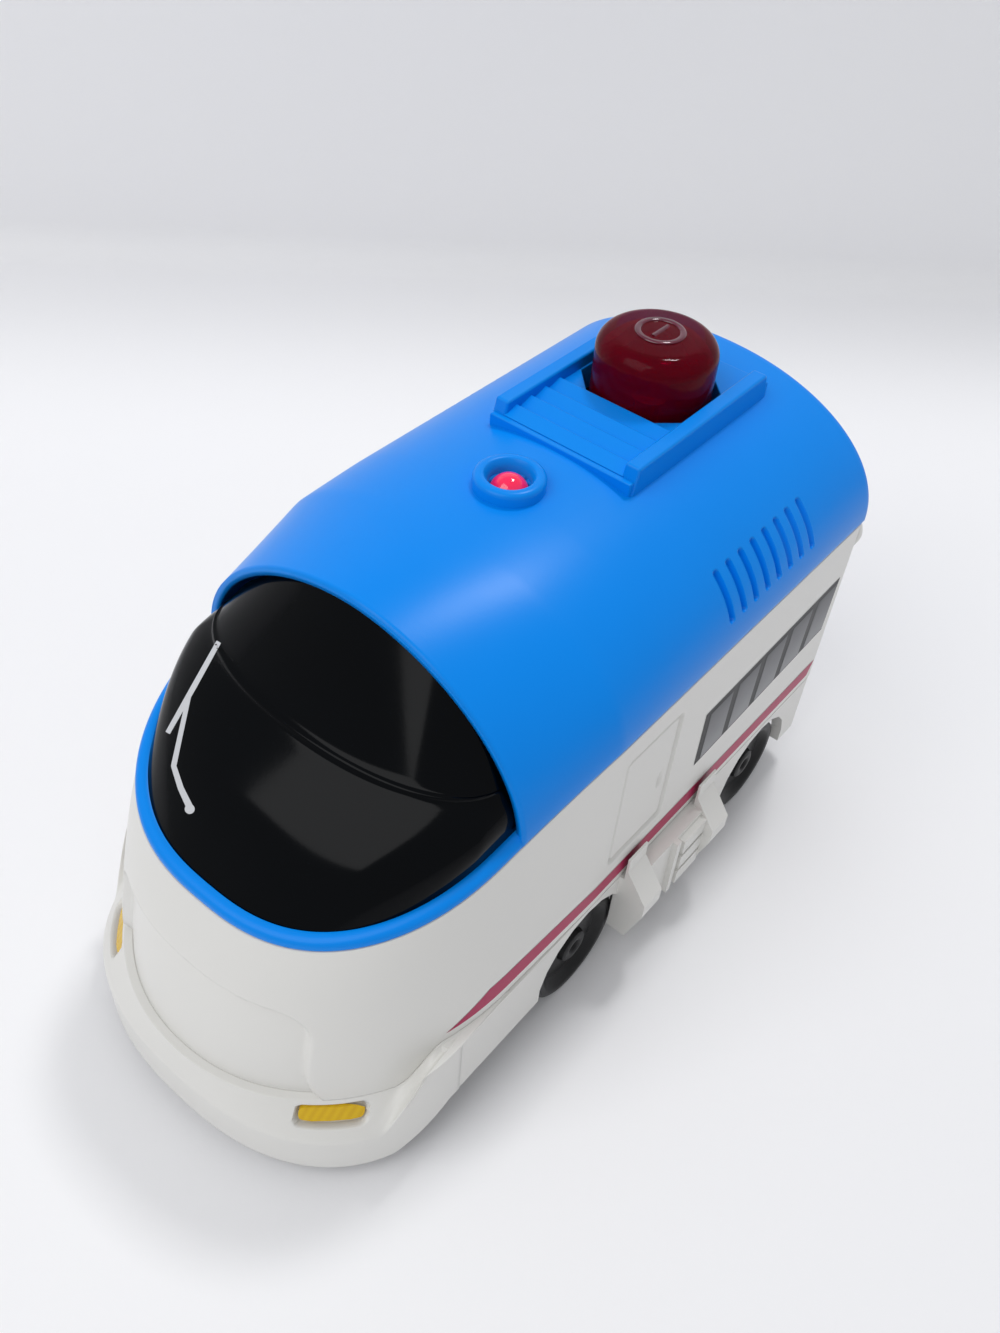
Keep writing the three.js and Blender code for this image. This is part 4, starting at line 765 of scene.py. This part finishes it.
for side, sign in (("right", 1), ("left", -1)):
    low_x, high_x = sorted((sign * (rail_x - rail_wide), sign * rail_x))
    bar = block((low_x, deck_front, 77.0), (high_x, deck_back, rail_top), (1.6, -1.6))
    rail = make("roof_rail_" + side, bar, blue_plastic, "engine")
    soften(rail, 0.45)
for louvre in range(4):
    front = deck_front + 0.8 + 3.6 * louvre
    slat = np.array([(x, y, z) for x in (-11.2, 11.2) for y, z in
                     ((front, 81.0), (front + 2.8, 81.8), (front + 3.0, 81.6), (front + 3.0, 80.6))], float)
    slat_faces = [(0, 1, 2, 3), (4, 5, 6, 7), (0, 1, 5, 4), (1, 2, 6, 5), (2, 3, 7, 6), (3, 0, 4, 7)]
    piece = make("louvre_%d" % (louvre + 1), (slat, slat_faces), blue_plastic, "engine")
    soften(piece, 0.15, 2)

collar = [(78.6, 5.35), (81.4, 5.35), (81.85, 5.2), (82.1, 4.9), (82.2, 4.5), (82.2, 3.9), (82.05, 3.7),
          (80.9, 3.15), (79.0, 3.1)]
make("lamp_collar", turned(collar, "z", (0, lamp_y, 0)), blue_plastic, "engine", sharp=50.0)


# Windscreen
# A black glossy moulding pressed up into the rim and under the roof's front edge.
# A soft fold divides it into an upper and a lower pane.
black_gloss = moulded("black_gloss", tint(3, 5, 8), 0.1, 0.7, 0.015, shine=0.1)
arch_y, fold_z, fold_tip = -21.5, 62.3, -33.5
screen_u = np.linspace(0.0, 1.0, 181)
whole_arch = roof_line(np.full((1, 1), arch_y), np.linspace(0.0, 0.5, 4001)[None, :], 1.9)[0]
start_share = np.interp(fold_z, whole_arch[:, 2], np.linspace(0.0, 0.5, 4001))
upper_share = start_share + (1 - 2 * start_share) * screen_u
upper_edge = roof_line(np.full((1, 1), arch_y), upper_share[None, :], 1.9)[0]
fold_across, fold_ahead = arch(screen_u, 2.2)
fold = np.stack([upper_edge[0, 0] * fold_across, arch_y + (fold_tip - arch_y) * fold_ahead,
                 np.full(len(screen_u), fold_z)], -1)

foot = rim_path + rim_inward * 1.85 + np.array((0, 0, 1.5))
foot = foot[(foot[:, 1] < arch_y + 0.2)]
post = np.linspace(upper_edge[0], foot[0], 30)[:-1]
lower_path = np.concatenate([post, foot, (post * (-1, 1, 1))[::-1]])
length = np.concatenate([[0.0], np.cumsum(np.linalg.norm(np.diff(lower_path, axis=0), axis=1))])
evenly = length / length[-1]
spread = screen_u + 0.035 * np.sin(2 * np.pi * screen_u)
lower_edge = np.stack([np.interp(spread, evenly, lower_path[:, n]) for n in range(3)], -1)

screen_v = np.concatenate([np.linspace(0.0, 1.0, 81), np.linspace(0.42, 0.58, 61)])
screen_v = np.unique(screen_v.round(6))[:, None, None]
soft = 0.05


def pane_point(v):
    upper = upper_edge + (fold - upper_edge) * np.clip(v * 2, 0, 1)
    down = np.clip(v * 2 - 1, 0, 1)
    lower = fold + (lower_edge - fold) * down
    bulge = np.sin(np.pi * down) * np.clip(np.minimum(screen_u, 1 - screen_u) / 0.12, 0, 1)[None, :, None]
    push = np.stack([1.9 * fold_across, -1.1 * fold_ahead, 0.9 + 0 * fold_ahead], -1)
    return np.where(v < 0.5, upper, lower + bulge * push)


bent = np.clip((screen_v - 0.5 + soft) / (2 * soft), 0, 1)
softened = (1 - bent) ** 2 * pane_point(np.full((1, 1, 1), 0.5 - soft))
softened = softened + 2 * bent * (1 - bent) * fold[None]
softened = softened + bent ** 2 * pane_point(np.full((1, 1, 1), 0.5 + soft))
screen = np.where(np.abs(screen_v - 0.5) < soft, softened, pane_point(screen_v))
ridge = 0.32 * np.exp(-((screen_v - 0.5) / 0.012) ** 2) * np.clip(fold_ahead * 3, 0, 1)[None, :, None]
screen = screen + ridge * np.stack([0.5 * fold_across, -0.5 * fold_ahead, 0.7 + 0 * fold_ahead], -1)
glass = make("windscreen_gloss", grid(screen), black_gloss, "engine", sharp=60.0)
thicken(glass, 1.1)
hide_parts("windscreen")


# Wiper print
# A pale wiper printed on the lower pane: a straight blade, a bent arm and a round pivot.
# The ink follows the curve of the pane.
screen_points, screen_faces = grid(screen)
screen_tree = BVHTree.FromPolygons(((screen_points + datum) * mm).tolist(), screen_faces)
ink_white = moulded("ink_white", tint(206, 208, 212), 0.32, 0.9)


def on_screen(across, down):
    ray = sight(across, down)
    hit, normal = screen_tree.ray_cast(camera_spot, ray.normalized())[:2]
    if hit is None:
        hit, normal = screen_tree.find_nearest(camera_spot + ray.normalized() * 0.17)[:2]
    if normal.dot(ray) > 0:
        normal = -normal
    return np.array(hit + normal * 0.06 * mm) / mm - datum


def inked_line(name, path, widths, count=40):
    path = np.array(path, float)
    steps = np.concatenate([[0.0], np.cumsum(np.linalg.norm(np.diff(path, axis=0), axis=1))])
    along = np.linspace(0.0, steps[-1], count)
    line = np.stack([np.interp(along, steps, path[:, n]) for n in (0, 1)], -1)
    wide = np.interp(along, steps, widths)
    step = heading(line)
    side = np.stack([-step[:, 1], step[:, 0]], -1) * wide[:, None] / 2
    film = np.array([[on_screen(*(spot + share * edge)) for share in (-1, 0, 1)]
                     for spot, edge in zip(line, side)])
    make(name, grid(film), ink_white, "engine")


inked_line("wiper_blade", [(219, 642), (194, 687), (168, 733)], [5.0, 5.6, 5.0])
inked_line("wiper_arm", [(189, 697), (180, 738), (174, 766), (181, 788), (190, 807)],
           [4.6, 5.0, 5.4, 6.0, 7.0])
disc = np.array([[on_screen(190 + radius * np.cos(turn), 809 + radius * np.sin(turn))
                  for turn in np.linspace(0, 2 * np.pi, 25)] for radius in (0.05, 2.5, 5.0)])
make("wiper_pivot", grid(disc), ink_white, "engine")


# Indicator lamp
# A small domed lamp of pink epoxy stands in the collar at the front of the roof.
# It is soldered to the board and glows faintly.
lamp_pink, spot = new_finish("lamp_pink_clear")
cloud = spot.speckle(500.0)
close_finish(spot, {
    "Base Color": cloud.blend(tint(226, 0, 62), tint(255, 18, 92)),
    "Roughness": 0.08 + cloud * 0.05,
    "Coat Weight": 0.8,
    "Emission Color": tint(255, 0, 70),
    "Emission Strength": 0.25,
})
lamp_low, lamp_high = span("indicator_lamp")
lamp_radius = 2.95
lamp_round = np.linspace(0.0, np.pi / 2, 14)
lamp_profile = [(lamp_low[2], 0.0), (lamp_low[2], lamp_radius)]
lamp_profile += [(lamp_high[2] + 0.4 - lamp_radius * (1 - np.sin(turn)), lamp_radius * np.cos(turn))
                 for turn in lamp_round]
bulb = make("lamp_bulb", turned(lamp_profile, "z", (0, lamp_y, 0), 48), lamp_pink, "engine")
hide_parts("indicator_lamp")


# Power button
# A thick-walled dome of clear red plastic with a flange below the deck, which keeps it in.
# It is pressed down on a spring, and a power sign is moulded on its top.
red_clear, spot = new_finish("red_clear_plastic")
streak = spot.speckle(160.0, 3.0)
close_finish(spot, {
    "Base Color": streak.blend(tint(160, 0, 36), tint(196, 0, 60)),
    "Roughness": 0.06 + streak * 0.05,
    "Transmission Weight": 0.85,
    "IOR": 1.16,
    "Specular IOR Level": 0.1,
})
button_radius, button_top = 9.7, 90.35
brow = np.linspace(0.0, np.pi / 2, 14)
dome = [(73.9, 9.0), (73.9, 11.9), (75.5, 11.9), (75.5, button_radius), (86.8, button_radius)]
dome += [(86.8 + 3.2 * np.sin(turn), button_radius - 3.2 + 3.2 * np.cos(turn)) for turn in brow]
dome += [(button_top - 0.12, 4.5), (button_top, 2.0), (button_top, 0.0)]
hollow = [(88.0, 0.0), (88.0, 5.0), (87.2, 7.2), (85.5, 8.0), (73.9, 8.0)]
dome_piece = make("button_dome", turned(dome + hollow, "z", (0, button_y, 0), 96), red_clear,
                  "button", sharp=45.0)
stem = [(79.6, 0.0), (79.6, 1.9), (79.8, 2.0), (88.1, 2.0)]
make("button_stem", turned(stem, "z", (0, button_y, 0), 40), red_clear, "button")
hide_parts("power_button")

# The sign is moulded in the dome's own plastic; its darker red is painted shade standing for the groove.
sign_shade_red, spot = new_finish("sign_red_painted_shade")
cloud = spot.speckle(300.0)
close_finish(spot, {
    "Base Color": cloud.blend(tint(70, 4, 30), tint(104, 10, 48)),
    "Roughness": 0.12 + cloud * 0.05,
    "Coat Weight": 0.6,
})
bead = np.linspace(0.0, 2 * np.pi, 13)
loop = [(button_top + 0.02 + 0.2 * np.sin(turn), 3.5 + 0.5 * np.cos(turn)) for turn in bead]
stroke_y = np.linspace(-2.1, 2.1, 15)
stroke_round = np.linspace(0, np.pi, 9)
stroke = np.array([[(0.42 * np.cos(turn), along + button_y, button_top - 0.02 + 0.22 * np.sin(turn))
                    for turn in stroke_round] for along in stroke_y])
make("power_sign", joined(turned(loop, "z", (0, button_y, 0), 64), grid(stroke)), sign_shade_red,
     "button")


# Coupler
# A black drawbar moulded with an upright peg, over which the loop of a coach drops.
# It swings on a screw under the back of the chassis.
dress(wheel_black, "rear_coupler", edges=0.25)


# Sizes
# The dressed model's box, taken over every shown piece but the board.
bpy.context.view_layer.update()
low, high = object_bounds()
